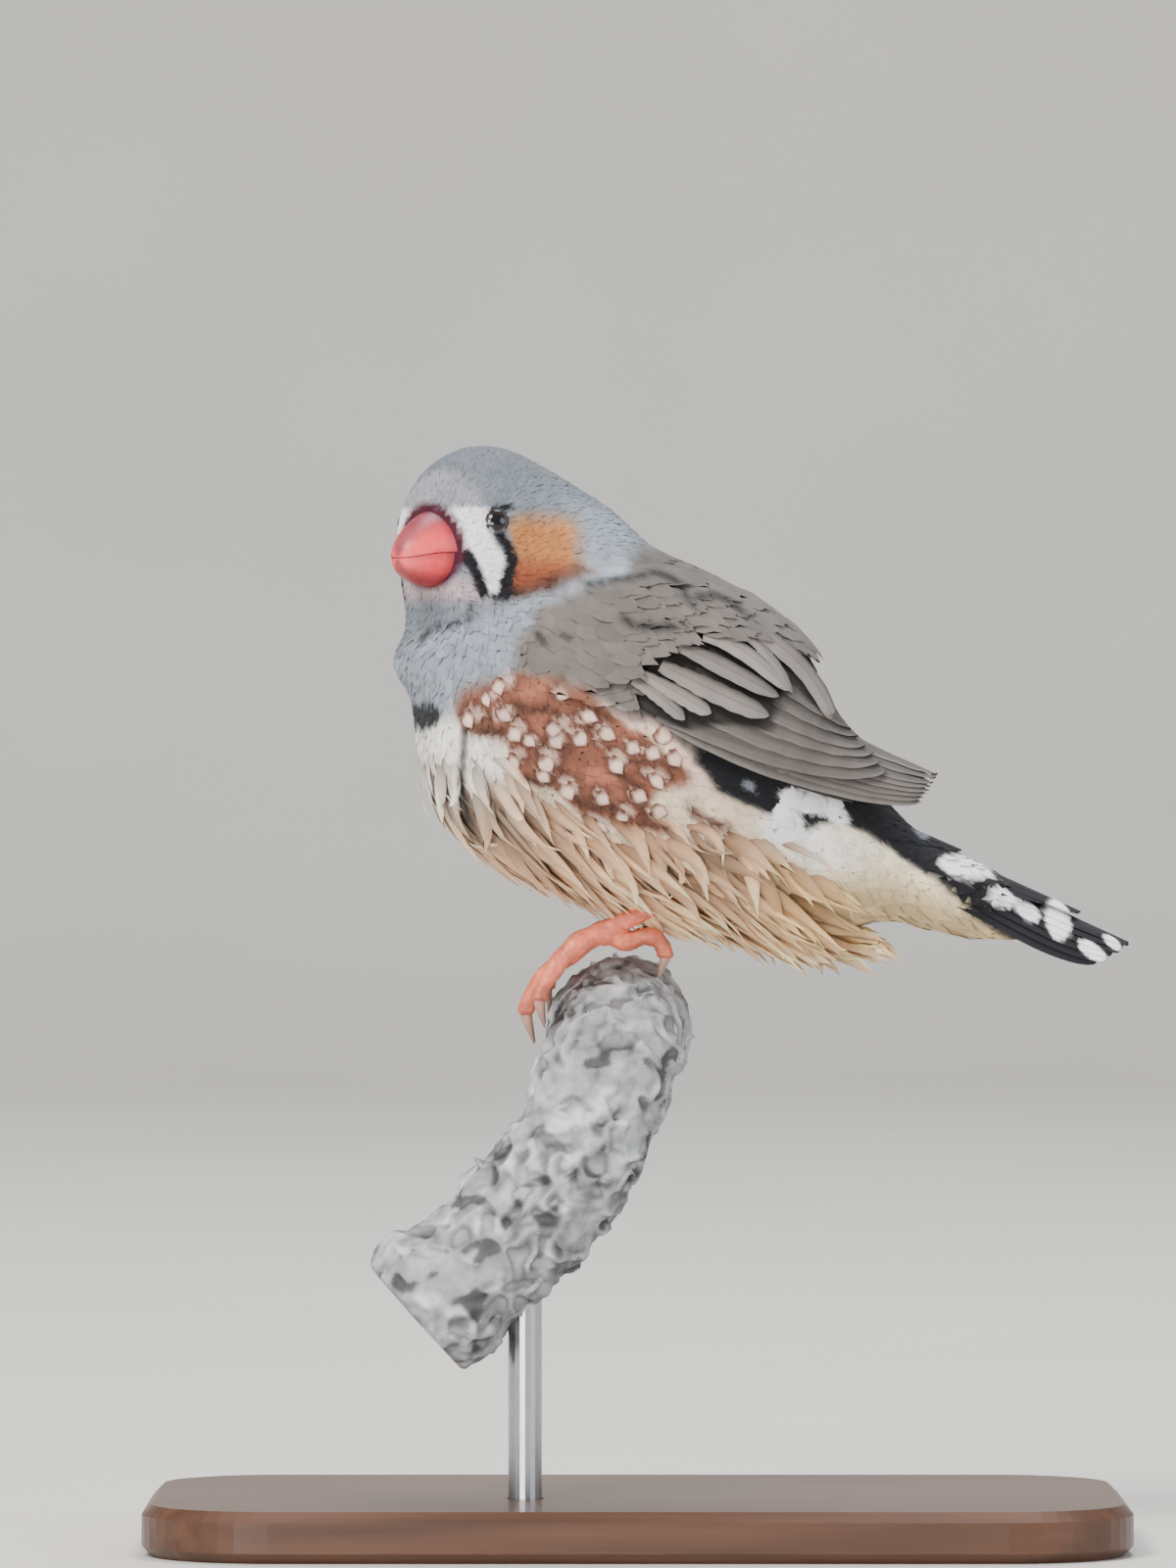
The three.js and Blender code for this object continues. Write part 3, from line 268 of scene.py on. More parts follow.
class FinchColours(PropertyGroup):
    """Colours of the plumage and bare parts"""
    grey: colour_of("Grey", "Crown and nape", 120, 127, 135)
    bib: colour_of("Bib", "Throat and upper breast", 145, 152, 163)
    lore: colour_of("Lore", "White stripe before the eye", 252, 250, 250)
    black: colour_of("Black", "Face lines, breast band and tail", 20, 20, 25)
    cheek: colour_of("Cheek", "Ear patch", 184, 120, 71)
    chestnut: colour_of("Chestnut", "Flank", 130, 81, 63)
    spot: colour_of("Spot", "Flank spots", 238, 204, 188)
    white: colour_of("White", "Breast and tail bars", 250, 246, 238)
    cream: colour_of("Cream", "Belly", 226, 203, 178)
    buff: colour_of("Buff", "Under the tail", 214, 187, 140)
    mantle: colour_of("Mantle", "Back and wings", 109, 102, 97)
    # Painted shade of the wings: on the parts of feathers that lie under others, in the gaps and on the bed below
    wing_shade_tone: colour_of("Quill", "Middle of the wing feathers", 84, 77, 72)
    fringe: colour_of("Fringe", "Edges of the wing feathers", 135, 127, 122)
    bill: colour_of("Bill", "Bill", 243, 73, 77)
    # Bill edge: the bare skin at the bill's base and its cutting edges, and painted shade along the culmen
    bill_edge: colour_of("Bill edge", "Culmen and base of the bill", 77, 31, 46)
    foot: colour_of("Foot", "Legs and toes", 218, 112, 84)
    claw: colour_of("Claw", "Claws", 172, 132, 112)
    bark: colour_of("Bark", "Lichen crust of the branch", 162, 164, 166)
    bark_pit: colour_of("Bark pits", "Bare bark between the lichen", 90, 90, 90)
    wood: colour_of("Wood", "Stand's base", 82, 51, 33)
    steel: colour_of("Steel", "Stand's rod", 186, 188, 190)
    floor: colour_of("Floor", "Floor and backdrop", 206, 203, 198)


# ---- the body's surface ----

def ellipsoid_distance(local, half):
    """Signed distance, near enough, to an ellipsoid from points in its own axes."""
    scaled = local / half
    near = np.linalg.norm(scaled, axis=-1)
    steep = np.maximum(np.linalg.norm(scaled / half, axis=-1), 1e-9)
    return near * (near - 1) / steep


def pitch_axes(pitch):
    """Axes pitched down towards the tail."""
    turn = math.radians(pitch)
    return np.array([[math.cos(turn), 0, -math.sin(turn)], [0, 1, 0], [math.sin(turn), 0, math.cos(turn)]])


def in_head(points):
    """Points in the head's own axes: forward, left, up."""
    return (points - HEAD_AT) @ HEAD_AXES.T


def neck_depth(points):
    """Place along the slope of the neck, larger further down and near -108 where the head begins."""
    return points[..., 0] * math.sin(NECK_PITCH) - points[..., 2] * math.cos(NECK_PITCH)


def body_distance(points):
    """Distance from the feathered outline, below zero inside it."""
    local = in_head(points)
    distances = [ellipsoid_distance((points - np.array(at)) @ pitch_axes(pitch).T, np.array(half))
                 for at, half, pitch in BODY_FORMS.values()]
    distances += [ellipsoid_distance(local - np.array(at), np.array(half)) for at, half in HEAD_FORMS.values()]
    total, *others = distances
    for other in others:
        share = np.maximum(BODY_BLEND - np.abs(total - other), 0) / BODY_BLEND
        total = np.minimum(total, other) - share * share * BODY_BLEND / 4
    return total


def normalised(vectors):
    """The same directions with length one."""
    return vectors / np.maximum(np.linalg.norm(vectors, axis=-1, keepdims=True), 1e-9)


def body_slope(points):
    """The way out of the body at each point, and the distance there."""
    here = body_distance(points)
    slope = np.stack([body_distance(points + SLOPE_STEP * axis) - here for axis in np.eye(3)], axis=-1)
    return normalised(slope), here


def settled(points, level, passes=2):
    """Points moved to a level over or under the outline."""
    for _ in range(passes):
        out, here = body_slope(points)
        points = points - out * (here - level)[..., None]
    return points


def reach_along(start, ray, farthest, passes):
    """How far along a ray from inside the body its outline lies."""
    low, high = np.zeros(ray.shape[:-1]), np.full(ray.shape[:-1], farthest)
    for _ in range(passes):
        middle = (low + high) / 2
        inner = body_distance(start + ray * middle[..., None]) < 0
        low, high = np.where(inner, middle, low), np.where(inner, high, middle)
    return low


def on_body(along, angle, side, lift):
    """Points round the spine, lifted off the outline."""
    start = SPINE_AT + along[..., None] * ALONG
    ray = np.cos(angle)[..., None] * OVER + side * np.sin(angle)[..., None] * np.array([0, 1, 0])
    return start + ray * (reach_along(start, ray, farthest=45.0, passes=18) + lift)[..., None]


def lumps(points, size, seed):
    """Smooth random lumps between -1 and 1."""
    scaled = points / size
    cell = np.floor(scaled).astype(np.int64)
    part = scaled - cell
    part = part * part * (3 - 2 * part)
    total = np.zeros(points.shape[:-1])
    for corner in itertools.product((0, 1), repeat=3):
        at = cell + np.array(corner)
        mixed = np.bitwise_xor.reduce(at * MIXERS, axis=-1) ^ seed * SEED_MIXER
        mixed = (mixed ^ (mixed >> 13)) * LAST_MIXER & 0x7FFFFFFF
        weight = np.prod(np.where(np.array(corner) == 1, part, 1 - part), axis=-1)
        total += weight * (mixed / 0x3FFFFFFF - 1)
    return total


# ---- markings ----

def stroke_distance(across, up, points):
    """Distance from a flat line through points."""
    nearest = np.full(across.shape, 1e9)
    for (ax, az), (bx, bz) in zip(points, points[1:]):
        ex, ez = bx - ax, bz - az
        share = np.clip(((across - ax) * ex + (up - az) * ez) / (ex * ex + ez * ez), 0, 1)
        nearest = np.minimum(nearest, np.hypot(across - ax - share * ex, up - az - share * ez))
    return nearest


def outline_distance(across, up, outline):
    """Distance from a flat outline, below zero inside it."""
    closed = [*outline, outline[0]]
    nearest = stroke_distance(across, up, closed)
    inner = np.zeros(across.shape, dtype=bool)
    for (ax, az), (bx, bz) in zip(closed, closed[1:]):
        if bz != az:
            inner ^= ((az > up) != (bz > up)) & (across < ax + (up - az) * (bx - ax) / (bz - az))
    return np.where(inner, -nearest, nearest)


def soft_mask(distance, softness):
    """1 below zero, 0 above it, with a soft edge."""
    return np.clip(0.5 - distance / softness, 0, 1)


def ramp(value, over):
    """Rises from 0 to 1 while a value goes from zero to the other one."""
    return np.clip(value / over, 0, 1)


def inside(flat, outline, rough, softness):
    """1 inside an outline on a flat pair of coordinates, 0 outside it."""
    return soft_mask(outline_distance(*flat, outline) + rough, softness)


def on_ovals(flat, spots, rough, softness):
    """1 on any of some ovals on a flat pair of coordinates."""
    return soft_mask(oval_distance(*flat, spots) - 1 + rough, softness)


def lay(shades, colour, mask):
    """Lays a colour over shades as far as the mask says."""
    shades[:] = shades + (np.array(colour) - shades) * mask[..., None]


def strokes_mask(x, z, strokes, softness):
    """1 on any of some strokes, each with its half width before its points."""
    mask = np.zeros(x.shape)
    for half, *points in strokes:
        mask = np.maximum(mask, soft_mask(stroke_distance(x, z, points) - half, softness))
    return mask


def oval_distance(x, z, spots):
    """How near to the nearest of some ovals, 1 on their edges."""
    nearest = np.full(x.shape, 9.0)
    for at_x, at_z, half_x, half_z, tilt in spots:
        turn = math.radians(tilt)
        along = (x - at_x) * math.cos(turn) + (z - at_z) * math.sin(turn)
        across = -(x - at_x) * math.sin(turn) + (z - at_z) * math.cos(turn)
        nearest = np.minimum(nearest, np.hypot(along / half_x, across / half_z))
    return nearest


def tail_marks(shades, points, colours, ragged):
    """Black of rump and tail with its white and grey spots."""
    flat = points[..., 0], points[..., 2]
    lay(shades, colours.black, inside(flat, TAIL_DARK, 0.6 * ragged, 0.7))
    lay(shades, colours.lore, on_ovals(flat, TAIL_SPOTS, 0.2 * ragged, 0.16))
    lay(shades, TAIL_GREY, on_ovals(flat, TAIL_GREY_SPOTS, 0.2 * ragged, 0.35))


def body_marks(shades, points, colours, ragged, wide, fine):
    """Belly, vent, flank, bib, back and breast band, from below upwards."""
    x, side, z = points[..., 0], np.abs(points[..., 1]), points[..., 2]
    flat = x, z
    chestnut, mantle = colours.chestnut, colours.mantle
    low = ramp(88 - z, 16)
    lay(shades, colours.buff, np.clip(0.35 * low + 0.25 * wide * low, 0, 1))
    lay(shades, colours.white, inside(flat, WHITE_BREAST, ragged - 0.8, 3.5))
    under = inside(flat, UNDERTAIL, ragged, 2.5)
    lay(shades, colours.white * WARM_WHITE, under)
    vent = on_ovals(flat, VENT, 0.3 * ragged, 0.9)
    lay(shades, colours.white, vent)
    lay(shades, colours.buff, under * (1 - 0.9 * vent) * np.clip((94 - z - 0.42 * x) / 5, 0, 0.95))
    sides = ramp(side - 5.0, 3.0)
    edge = outline_distance(x, z, CHESTNUT) + 0.9 * ragged
    lay(shades, colours.spot, inside(flat, FLANK_WHITE, 0.5 * ragged, 0.8) * sides)
    lay(shades, chestnut, soft_mask(edge, 0.7) * sides)
    lay(shades, np.minimum(chestnut * 1.32, 1), on_ovals(flat, FLANK_LIGHT, 0.3 * ragged, 0.5) * sides * 0.8)
    drops = oval_distance(x, z, DROPS) + 0.12 * fine
    # Painted shade round the drops, between them and in the coat's folds
    rim = soft_mask(drops - 1.45, 0.5) * soft_mask(edge, 1.2)
    lay(shades, chestnut * 0.56, np.maximum(rim * 0.7, strokes_mask(x, z, FLANK_SHADE, 0.8)) * sides)
    lay(shades, colours.spot, soft_mask(drops - 0.95, 0.3) * sides * 0.7)
    lay(shades, colours.bib, soft_mask(BIB_BASE - z, 1.5))
    lay(shades, colours.bib, inside(flat, BIB, 0.8 * ragged, 1.6))
    # Painted shade: the mantle darker towards its top
    top_shade = 1 - 0.12 * ramp(z - 111, 4)
    lay(shades, mantle * top_shade[..., None], inside(flat, MANTLE, 0.8 * ragged, 1.4))
    lay(shades, colours.grey * 1.2, inside(flat, NAPE, 0.6 * ragged, 1.2))
    tail_marks(shades, points, colours, ragged)
    lay(shades, colours.black * 0.6, inside(flat, BREAST_BAND, 0.5 * ragged + 0.2 * fine, 0.3))


def head_marks(shades, points, colours, ragged, wide, fine):
    """Crown, nape, chin, lore, ear patch and the black lines of the face."""
    local = in_head(points)
    forward, left, up = local[..., 0], np.abs(local[..., 1]), local[..., 2]
    profile = forward, up
    neck = neck_depth(points)
    on_head = soft_mask(neck + 108.5 + 0.6 * ragged, 2.0)
    lay(shades, colours.grey, on_head)
    lay(shades, colours.grey * 1.2, on_head * inside((points[..., 0], points[..., 2]), NAPE_LIGHT, ragged, 3.0))
    lay(shades, colours.grey * 0.88, on_head * ramp(up - 4, 4) * np.clip(0.7 + 0.8 * wide, 0, 1))
    chin = soft_mask(up + 5.2, 1.5) * soft_mask(-7.8 - up, 1.6) * soft_mask(6.6 - forward, 1.6)
    lay(shades, CHIN_PINK, chin * 0.7)
    face = on_head * soft_mask(7.2 - forward, 1.2) * soft_mask(-up - 2.6, 1.2)
    lay(shades, FACE_GREY, face * 0.5)
    beside = soft_mask(neck + 107.4, 1.0) * soft_mask(1.6 - left, 1.2)
    lay(shades, colours.lore, beside * inside(profile, LORE, 0.1 * fine, 0.35))
    rear = ramp(2.4 - forward, 3.4)
    cheek = beside * inside(profile, CHEEK, 0.2 * ragged + 0.4 * rear, 0.5 + 2.4 * rear)
    cheek = cheek * np.clip(1 - (up - 0.6) / 3.0, 0.05, 1)
    lay(shades, colours.cheek, cheek)
    lay(shades, colours.cheek * CHEEK_SHADE, cheek * ramp(-up - 2.2, 2.6))
    edge = soft_mask(stroke_distance(forward, up, CHEEK_EDGE) - 0.55, 0.7)
    patchy = np.clip(0.8 + 0.6 * lumps(points, 2.0, 9), 0.35, 1)
    lay(shades, colours.chestnut * 0.55, beside * edge * patchy)
    below = soft_mask(stroke_distance(forward, up + 1.5, CHEEK_EDGE) - 0.4, 1.0)
    lay(shades, UNDER_CHEEK, beside * below * 0.5)
    for line, half in ((TEAR_LINE, 0.42), (EYE_LINE, 0.5), (BROW_LINE, 0.3)):
        stroke = soft_mask(stroke_distance(forward, up, line) - half + 0.06 * fine, 0.2)
        lay(shades, colours.black, beside * stroke)
    lay(shades, colours.bill_edge, ramp(1.05 - bill_reach(points), 0.09))


def plumage(points, colours):
    """Colour of skin and coat at points on the body, one rule for both."""
    shades = np.empty(points.shape)
    shades[:] = colours.cream
    ragged = 0.35 * lumps(points, 1.3, 3) + 0.5 * lumps(points, 3.1, 4)
    wide, fine = lumps(points, 6.0, 5), lumps(points, 0.8, 6)
    body_marks(shades, points, colours, ragged, wide, fine)
    head_marks(shades, points, colours, ragged, wide, fine)
    # Painted shade in the coat's creases
    crease_shade = strokes_mask(points[..., 0], points[..., 2], CREASE_SHADE, 0.6) * ramp(np.abs(points[..., 1]) - 4, 3)
    shades *= (1 - 0.62 * crease_shade)[..., None]
    shades *= (1 + 0.05 * wide + 0.03 * fine)[..., None]
    return np.clip(shades, 0, 1)


def linear(shades):
    """Picker values to the linear values that attributes and sockets hold."""
    shades = np.asarray(shades, dtype=float)
    return np.where(shades <= 0.04045, shades / 12.92, ((shades + 0.055) / 1.055) ** 2.4)


# ---- mesh helpers ----

def focus(*pieces):
    """Selects some pieces and makes the first active."""
    bpy.ops.object.select_all(action="DESELECT")
    for piece in pieces:
        piece.select_set(True)
    bpy.context.view_layer.objects.active = pieces[0]


def joined(pieces, name):
    """One named piece from several."""
    focus(*pieces)
    bpy.ops.object.join()
    piece = bpy.context.object
    piece.name = piece.data.name = name
    return piece


def remeshed(piece, voxel):
    """Closes the forms of a joined piece in one surface."""
    piece.data.remesh_voxel_size = voxel * MM
    bpy.ops.object.voxel_remesh()


def ball(at, turn, segments, rings, radius):
    """A sphere of a radius in metres, added at its place in millimetres."""
    bpy.ops.object.select_all(action="DESELECT")
    bpy.ops.mesh.primitive_uv_sphere_add(segments=segments, ring_count=rings, radius=radius,
                                         location=Vector(at) * MM, rotation=turn)
    return bpy.context.object


def rest_at_origin(piece):
    """Puts a piece's place into its mesh."""
    focus(piece)
    bpy.ops.object.transform_apply(location=True, rotation=True, scale=True)


def places(piece):
    """A piece's vertices, in millimetres."""
    flat = np.empty(len(piece.data.vertices) * 3)
    piece.data.vertices.foreach_get("co", flat)
    return flat.reshape(-1, 3) / MM


def nearest_of(points, spots):
    """How far each point is from the nearest of some spots."""
    return np.min([np.linalg.norm(points - spot, axis=1) for spot in spots], axis=0)


def place(piece, points):
    """Moves a piece's vertices to points in millimetres."""
    piece.data.vertices.foreach_set("co", (points * MM).ravel())
    piece.data.update()


def paint(piece, name, shades):
    """Stores one colour for each vertex."""
    layer = piece.data.color_attributes.new(name=name, type="FLOAT_COLOR", domain="POINT")
    full = np.ones((len(shades), 4))
    full[:, :3] = linear(np.clip(shades, 0, 1))
    layer.data.foreach_set("color", full.ravel())


def smooth(piece, degrees):
    """Smooth shading, with edges sharper than an angle left sharp."""
    focus(piece)
    bpy.ops.object.shade_smooth_by_angle(angle=math.radians(degrees))


def run_together(faces):
    """The corners of all faces in a row, and each face's count of them."""
    return np.array(list(itertools.chain(*faces))), np.array([len(face) for face in faces])


def mesh_piece(name, points, faces, material):
    """A piece from points in millimetres and the corners of each face."""
    return corner_piece(name, points, *run_together(faces), material)


def corner_piece(name, points, corners, sizes, material):
    """A piece from points in millimetres and the corners of all faces in a row."""
    mesh = bpy.data.meshes.new(name)
    mesh.vertices.add(len(points))
    mesh.vertices.foreach_set("co", (points * MM).ravel())
    mesh.loops.add(len(corners))
    mesh.loops.foreach_set("vertex_index", corners.astype(np.int32))
    mesh.polygons.add(len(sizes))
    mesh.polygons.foreach_set("loop_start", (np.cumsum(sizes) - sizes).astype(np.int32))
    mesh.polygons.foreach_set("use_smooth", np.ones(len(sizes), dtype=bool))
    mesh.update(calc_edges=True)
    mesh.materials.append(material)
    piece = bpy.data.objects.new(name, mesh)
    bpy.context.scene.collection.objects.link(piece)
    return piece


def on_whole_mesh(piece, act, **options):
    """One edit-mode operator on the whole of a piece."""
    focus(piece)
    bpy.ops.object.mode_set(mode="EDIT")
    bpy.ops.mesh.select_all(action="SELECT")
    act(**options)
    bpy.ops.object.mode_set(mode="OBJECT")


def closed_piece(name, points, faces, material):
    """A closed piece, its faces turned outwards."""
    piece = mesh_piece(name, points, faces, material)
    on_whole_mesh(piece, bpy.ops.mesh.normals_make_consistent, inside=False)
    return piece


def lay_uv(piece, name, per_vertex):
    """A UV map from one place for each vertex."""
    corners = np.empty(len(piece.data.loops), dtype=np.int32)
    piece.data.loops.foreach_get("vertex_index", corners)
    layer = piece.data.uv_layers.new(name=name)
    layer.data.foreach_set("uv", per_vertex[corners].ravel())


def grid_corners(columns, rows):
    """Faces of one vane: a crowned upper side, closed below by strips from edge to edge."""
    faces = []
    for row in range(rows):
        start, after = row * (columns + 1), (row + 1) * (columns + 1)
        faces += [[start + i, start + i + 1, after + i + 1, after + i] for i in range(columns)]
        faces.append([start + columns, start, after, after + columns])
    faces.append([rows * (columns + 1) + i for i in range(columns + 1)])
    faces.append(list(range(columns, -1, -1)))
    return faces


def vane_piece(name, grids, shades, root_uv, material):
    """Joins many vanes, each a grid of rows by columns of points, in one mesh."""
    count, rows, columns = grids.shape[:3]
    corners, sizes = run_together(grid_corners(columns - 1, rows - 1))
    corners = corners + np.arange(count)[:, None] * rows * columns
    piece = corner_piece(name, grids.reshape(-1, 3), corners.ravel(), np.tile(sizes, count), material)
    paint(piece, "Plumage", shades.reshape(-1, 3))
    down, across = np.meshgrid(np.linspace(0, 1, rows), np.linspace(0, 1, columns), indexing="ij")
    own = np.stack([across, down], axis=-1).reshape(-1, 2)
    lay_uv(piece, "Feather", np.tile(own, (count, 1)))
    lay_uv(piece, "OFBake", (root_uv[:, None] + BAKE_PATCH * (own[None] - 0.5)).reshape(-1, 2))
    smooth(piece, 75)
    return piece


def vane_spread(grids):
    """Share of a vane's length at each row, and place from edge to edge, -1 to 1, at each column."""
    return np.meshgrid(np.linspace(0, 1, grids.shape[1]), np.linspace(-1, 1, grids.shape[2]), indexing="ij")


def thinned(points, gaps, draw):
    """Which points to keep so that no two are closer than their own gap."""
    cells, kept = {}, []
    keys = np.floor(points / float(gaps.max())).astype(int).tolist()
    around = list(itertools.product((-1, 0, 1), repeat=3))
    spots = points.tolist()
    for i in draw.permutation(len(points)).tolist():
        px, py, pz = spots[i]
        kx, ky, kz = keys[i]
        gap = gaps[i] ** 2
        near = (spot for dx, dy, dz in around for spot in cells.get((kx + dx, ky + dy, kz + dz), ()))
        if all((px - qx) ** 2 + (py - qy) ** 2 + (pz - qz) ** 2 >= gap for qx, qy, qz in near):
            cells.setdefault((kx, ky, kz), []).append((px, py, pz))
            kept.append(i)
    return np.array(kept)


def picked(keep, *parts):
    """The same choice from each of some arrays."""
    return [part[keep] for part in parts]


def eye_middle(side):
    """Middle of one eyeball and the way out of the head there."""
    outward = normalised((EYE_TOWARDS * np.array([1, side, 1])) @ HEAD_AXES)
    reach = reach_along(HEAD_AT, outward, farthest=30.0, passes=24)
    return HEAD_AT + outward * (reach + EYE_PROUD - EYE_RADIUS), outward


EYES = {side: eye_middle(side) for side in (1, -1)}


def eye_axes(outward):
    """Across and upwards on the eye that looks that way."""
    across = normalised(np.cross(outward, [0, 0, 1.0]))
    return across, np.cross(across, outward)


def lie_of_coat(points, out, fall, stray):
    """The way that feathers point: away from the bill, round the eyes, then along the body and down it."""
    x = points[..., 0]
    backward = 0.55 * ramp(x + 16, 22)[..., None]
    way = normalised(points - BILL_ROOT) * (1 - backward) + ALONG * backward
    if fall is not None:
        at, back, up = FALL.T
        way = way * (1 - fall) + np.stack([np.interp(x, at, back), 0 * x, np.interp(x, at, up)], axis=-1) * fall
    for middle, _ in EYES.values():
        from_eye = points - middle
        reach = np.linalg.norm(from_eye, axis=-1, keepdims=True)
        way = way + 1.6 * normalised(from_eye) * np.exp(-np.maximum(reach - 2, 0) / 0.7)
    way = normalised(way - out * np.sum(way * out, axis=-1, keepdims=True))
    return way * np.cos(stray)[..., None] + np.cross(out, way) * np.sin(stray)[..., None]


def growing(share, start, fullest):
    """A feather's half width up to its fullest place, and the share of the way on from there."""
    past = np.maximum(share - fullest, 0) / (1 - fullest)
    return start + (1 - start) * np.sin(np.minimum(share / fullest, 1) * math.pi / 2), past


def rounded_vane(share, start=0.35, fullest=0.45):
    """Half width of a short body feather along its length."""
    grown, past = growing(share, start, fullest)
    return grown * np.sqrt(np.maximum(1 - (past * 0.93) ** 2, 0))


def pointed_vane(share):
    """Half width of a loose lock along its length."""
    grown, past = growing(share, 0.55, 0.3)
    return grown * (1 - 0.93 * past ** 1.7)


def lay_vanes(roots, length, width, levels, crown, draw, fall=None, stray=0.12, cling=1.0, hang=0.0,
              outline=rounded_vane, columns=4, ragged=0.05, rising=0.12, curl=0.0):
    """Grids of vanes that follow the body from their roots. Levels run from root to tip."""
    count = len(roots)
    levels = np.broadcast_to(levels, (count, np.shape(levels)[-1])).T
    rows = len(levels)
    bend, rise, curl = (amount * draw.standard_normal(count) for amount in (stray, rising, curl))
    hang = np.broadcast_to(hang, (count,))[:, None]
    points = settled(roots, levels[0])
    lines, outs, ways = [], [], []
    for row, level in enumerate(levels):
        share = row / (rows - 1)
        out, here = body_slope(points)
        if row:
            gap = here - level - rise * share
            points = points - out * (gap * np.where(gap > 0, cling, 1.0))[:, None]
        way = lie_of_coat(points, out, fall, bend + curl * (2 * share - 0.8))
        way = normalised(way - hang * share * np.array([0, 0, 1]))
        lines.append(points)
        outs.append(normalised(out - way * np.sum(out * way, axis=-1, keepdims=True)))
        ways.append(way)
        points = points + way * (length / (rows - 1))[:, None]
    lines, outs, ways = (np.stack(part, axis=1)[:, :, None] for part in (lines, outs, ways))
    share = np.linspace(0, 1, rows)[None, :, None]
    u = np.linspace(-1, 1, columns + 1)
    length = length[:, None, None]
    half = width[:, None, None] / 2 * outline(share)
    jag = draw.standard_normal((count, rows, columns + 1)) * ragged * share ** 2
    swept = jag * length - 0.10 * length * share ** 3 * u ** 2
    return (lines + np.cross(ways, outs) * (half * u)[..., None] - outs * (crown * half * u ** 2)[..., None]
            + ways * swept[..., None])


# ---- materials ----

def put(socket, value):
    """Sets a socket, or links another node's output to it."""
    if isinstance(value, bpy.types.NodeSocket):
        socket.id_data.links.new(value, socket)
    else:
        socket.default_value = value


def add_node(tree, kind, *values, **named):
    """A shader node with values or links for its inputs, in order or by name. Small names are its own settings."""
    node = tree.nodes.new("ShaderNode" + kind)
    for name, value in named.items():
        if name[0].islower():
            setattr(node, name, value)
        else:
            put(node.inputs[name.replace("_", " ")], value)
    for socket, value in zip(node.inputs, values):
        put(socket, value)
    return node


def worked_out(tree, operation, *values):
    """The result of one step of reckoning."""
    return add_node(tree, "Math", *values, operation=operation).outputs[0]


def toned(tree, colour, factor):
    """A colour made lighter or darker."""
    return add_node(tree, "VectorMath", colour, operation="SCALE", Scale=factor).outputs["Vector"]


def node_material(name, roughness, specular=0.5, **inputs):
    """A material, with its tree and its shader."""
    material = bpy.data.materials.new(name)
    material.use_nodes = True
    shader = material.node_tree.nodes["Principled BSDF"]
    for socket, value in dict(inputs, Roughness=roughness, Specular_IOR_Level=specular).items():
        put(shader.inputs[socket.replace("_", " ")], value)
    return material, material.node_tree, shader


def group_of(name, inputs, outputs):
    """An empty shader group, the values it is given and the sockets of its result."""
    tree = bpy.data.node_groups.new(name, "ShaderNodeTree")
    for label, kind, value in inputs:
        tree.interface.new_socket(name=label, in_out="INPUT", socket_type="NodeSocket" + kind).default_value = value
    for label, kind in outputs:
        tree.interface.new_socket(name=label, in_out="OUTPUT", socket_type="NodeSocket" + kind)
    return tree, tree.nodes.new("NodeGroupInput").outputs, tree.nodes.new("NodeGroupOutput").inputs


def mottle_group():
    """Lightens and darkens a colour in soft patches, and gives their height."""
    if "Mottle" in bpy.data.node_groups:
        return bpy.data.node_groups["Mottle"]
    tree, given, result = group_of(
        "Mottle", [("Color", "Color", (0.5, 0.5, 0.5, 1)), ("Scale", "Float", 300.0), ("Amount", "Float", 0.2),
                   ("Detail", "Float", 4.0)], [("Color", "Color"), ("Height", "Float")])
    where = add_node(tree, "TexCoord")
    noise = add_node(tree, "TexNoise", Vector=where.outputs["Object"], Scale=given["Scale"], Detail=given["Detail"])
    spread = add_node(tree, "MapRange", Value=noise.outputs["Fac"], From_Min=0.3, From_Max=0.7,
                      To_Min=worked_out(tree, "SUBTRACT", 1.0, given["Amount"]),
                      To_Max=worked_out(tree, "ADD", 1.0, given["Amount"]))
    put(result["Color"], toned(tree, given["Color"], spread.outputs["Result"]))
    put(result["Height"], noise.outputs["Fac"])
    return tree


def mottled(tree, colour, scale, amount, detail=4.0):
    """The mottle group over a colour."""
    return add_node(tree, "Group", node_tree=mottle_group(), Color=colour, Scale=scale, Amount=amount, Detail=detail)


def bump_into(tree, shader, height, strength, distance):
    """Bump from a height, its distance in millimetres."""
    bump = add_node(tree, "Bump", Strength=strength, Distance=distance * MM, Height=height)
    put(shader.inputs["Normal"], bump.outputs["Normal"])


def barb_group():
    """Fine barbs that run out and forward from the shaft of a feather's own map."""
    if "Barbs" in bpy.data.node_groups:
        return bpy.data.node_groups["Barbs"]
    tree, given, result = group_of("Barbs", [("Count", "Float", 30.0), ("Slant", "Float", 0.8)],
                                   [("Height", "Float"), ("Shaft", "Float")])
    own = add_node(tree, "SeparateXYZ", add_node(tree, "UVMap", uv_map="Feather").outputs["UV"]).outputs
    off_shaft = worked_out(tree, "ABSOLUTE", worked_out(tree, "SUBTRACT", own["X"], 0.5))
    line = worked_out(tree, "SUBTRACT", own["Y"], worked_out(tree, "MULTIPLY", off_shaft, given["Slant"]))
    turns = worked_out(tree, "MULTIPLY", line, given["Count"])
    put(result["Height"], worked_out(tree, "SINE", worked_out(tree, "MULTIPLY", turns, FULL_TURN)))
    put(result["Shaft"], worked_out(tree, "LESS_THAN", off_shaft, SHAFT_HALF))
    return tree


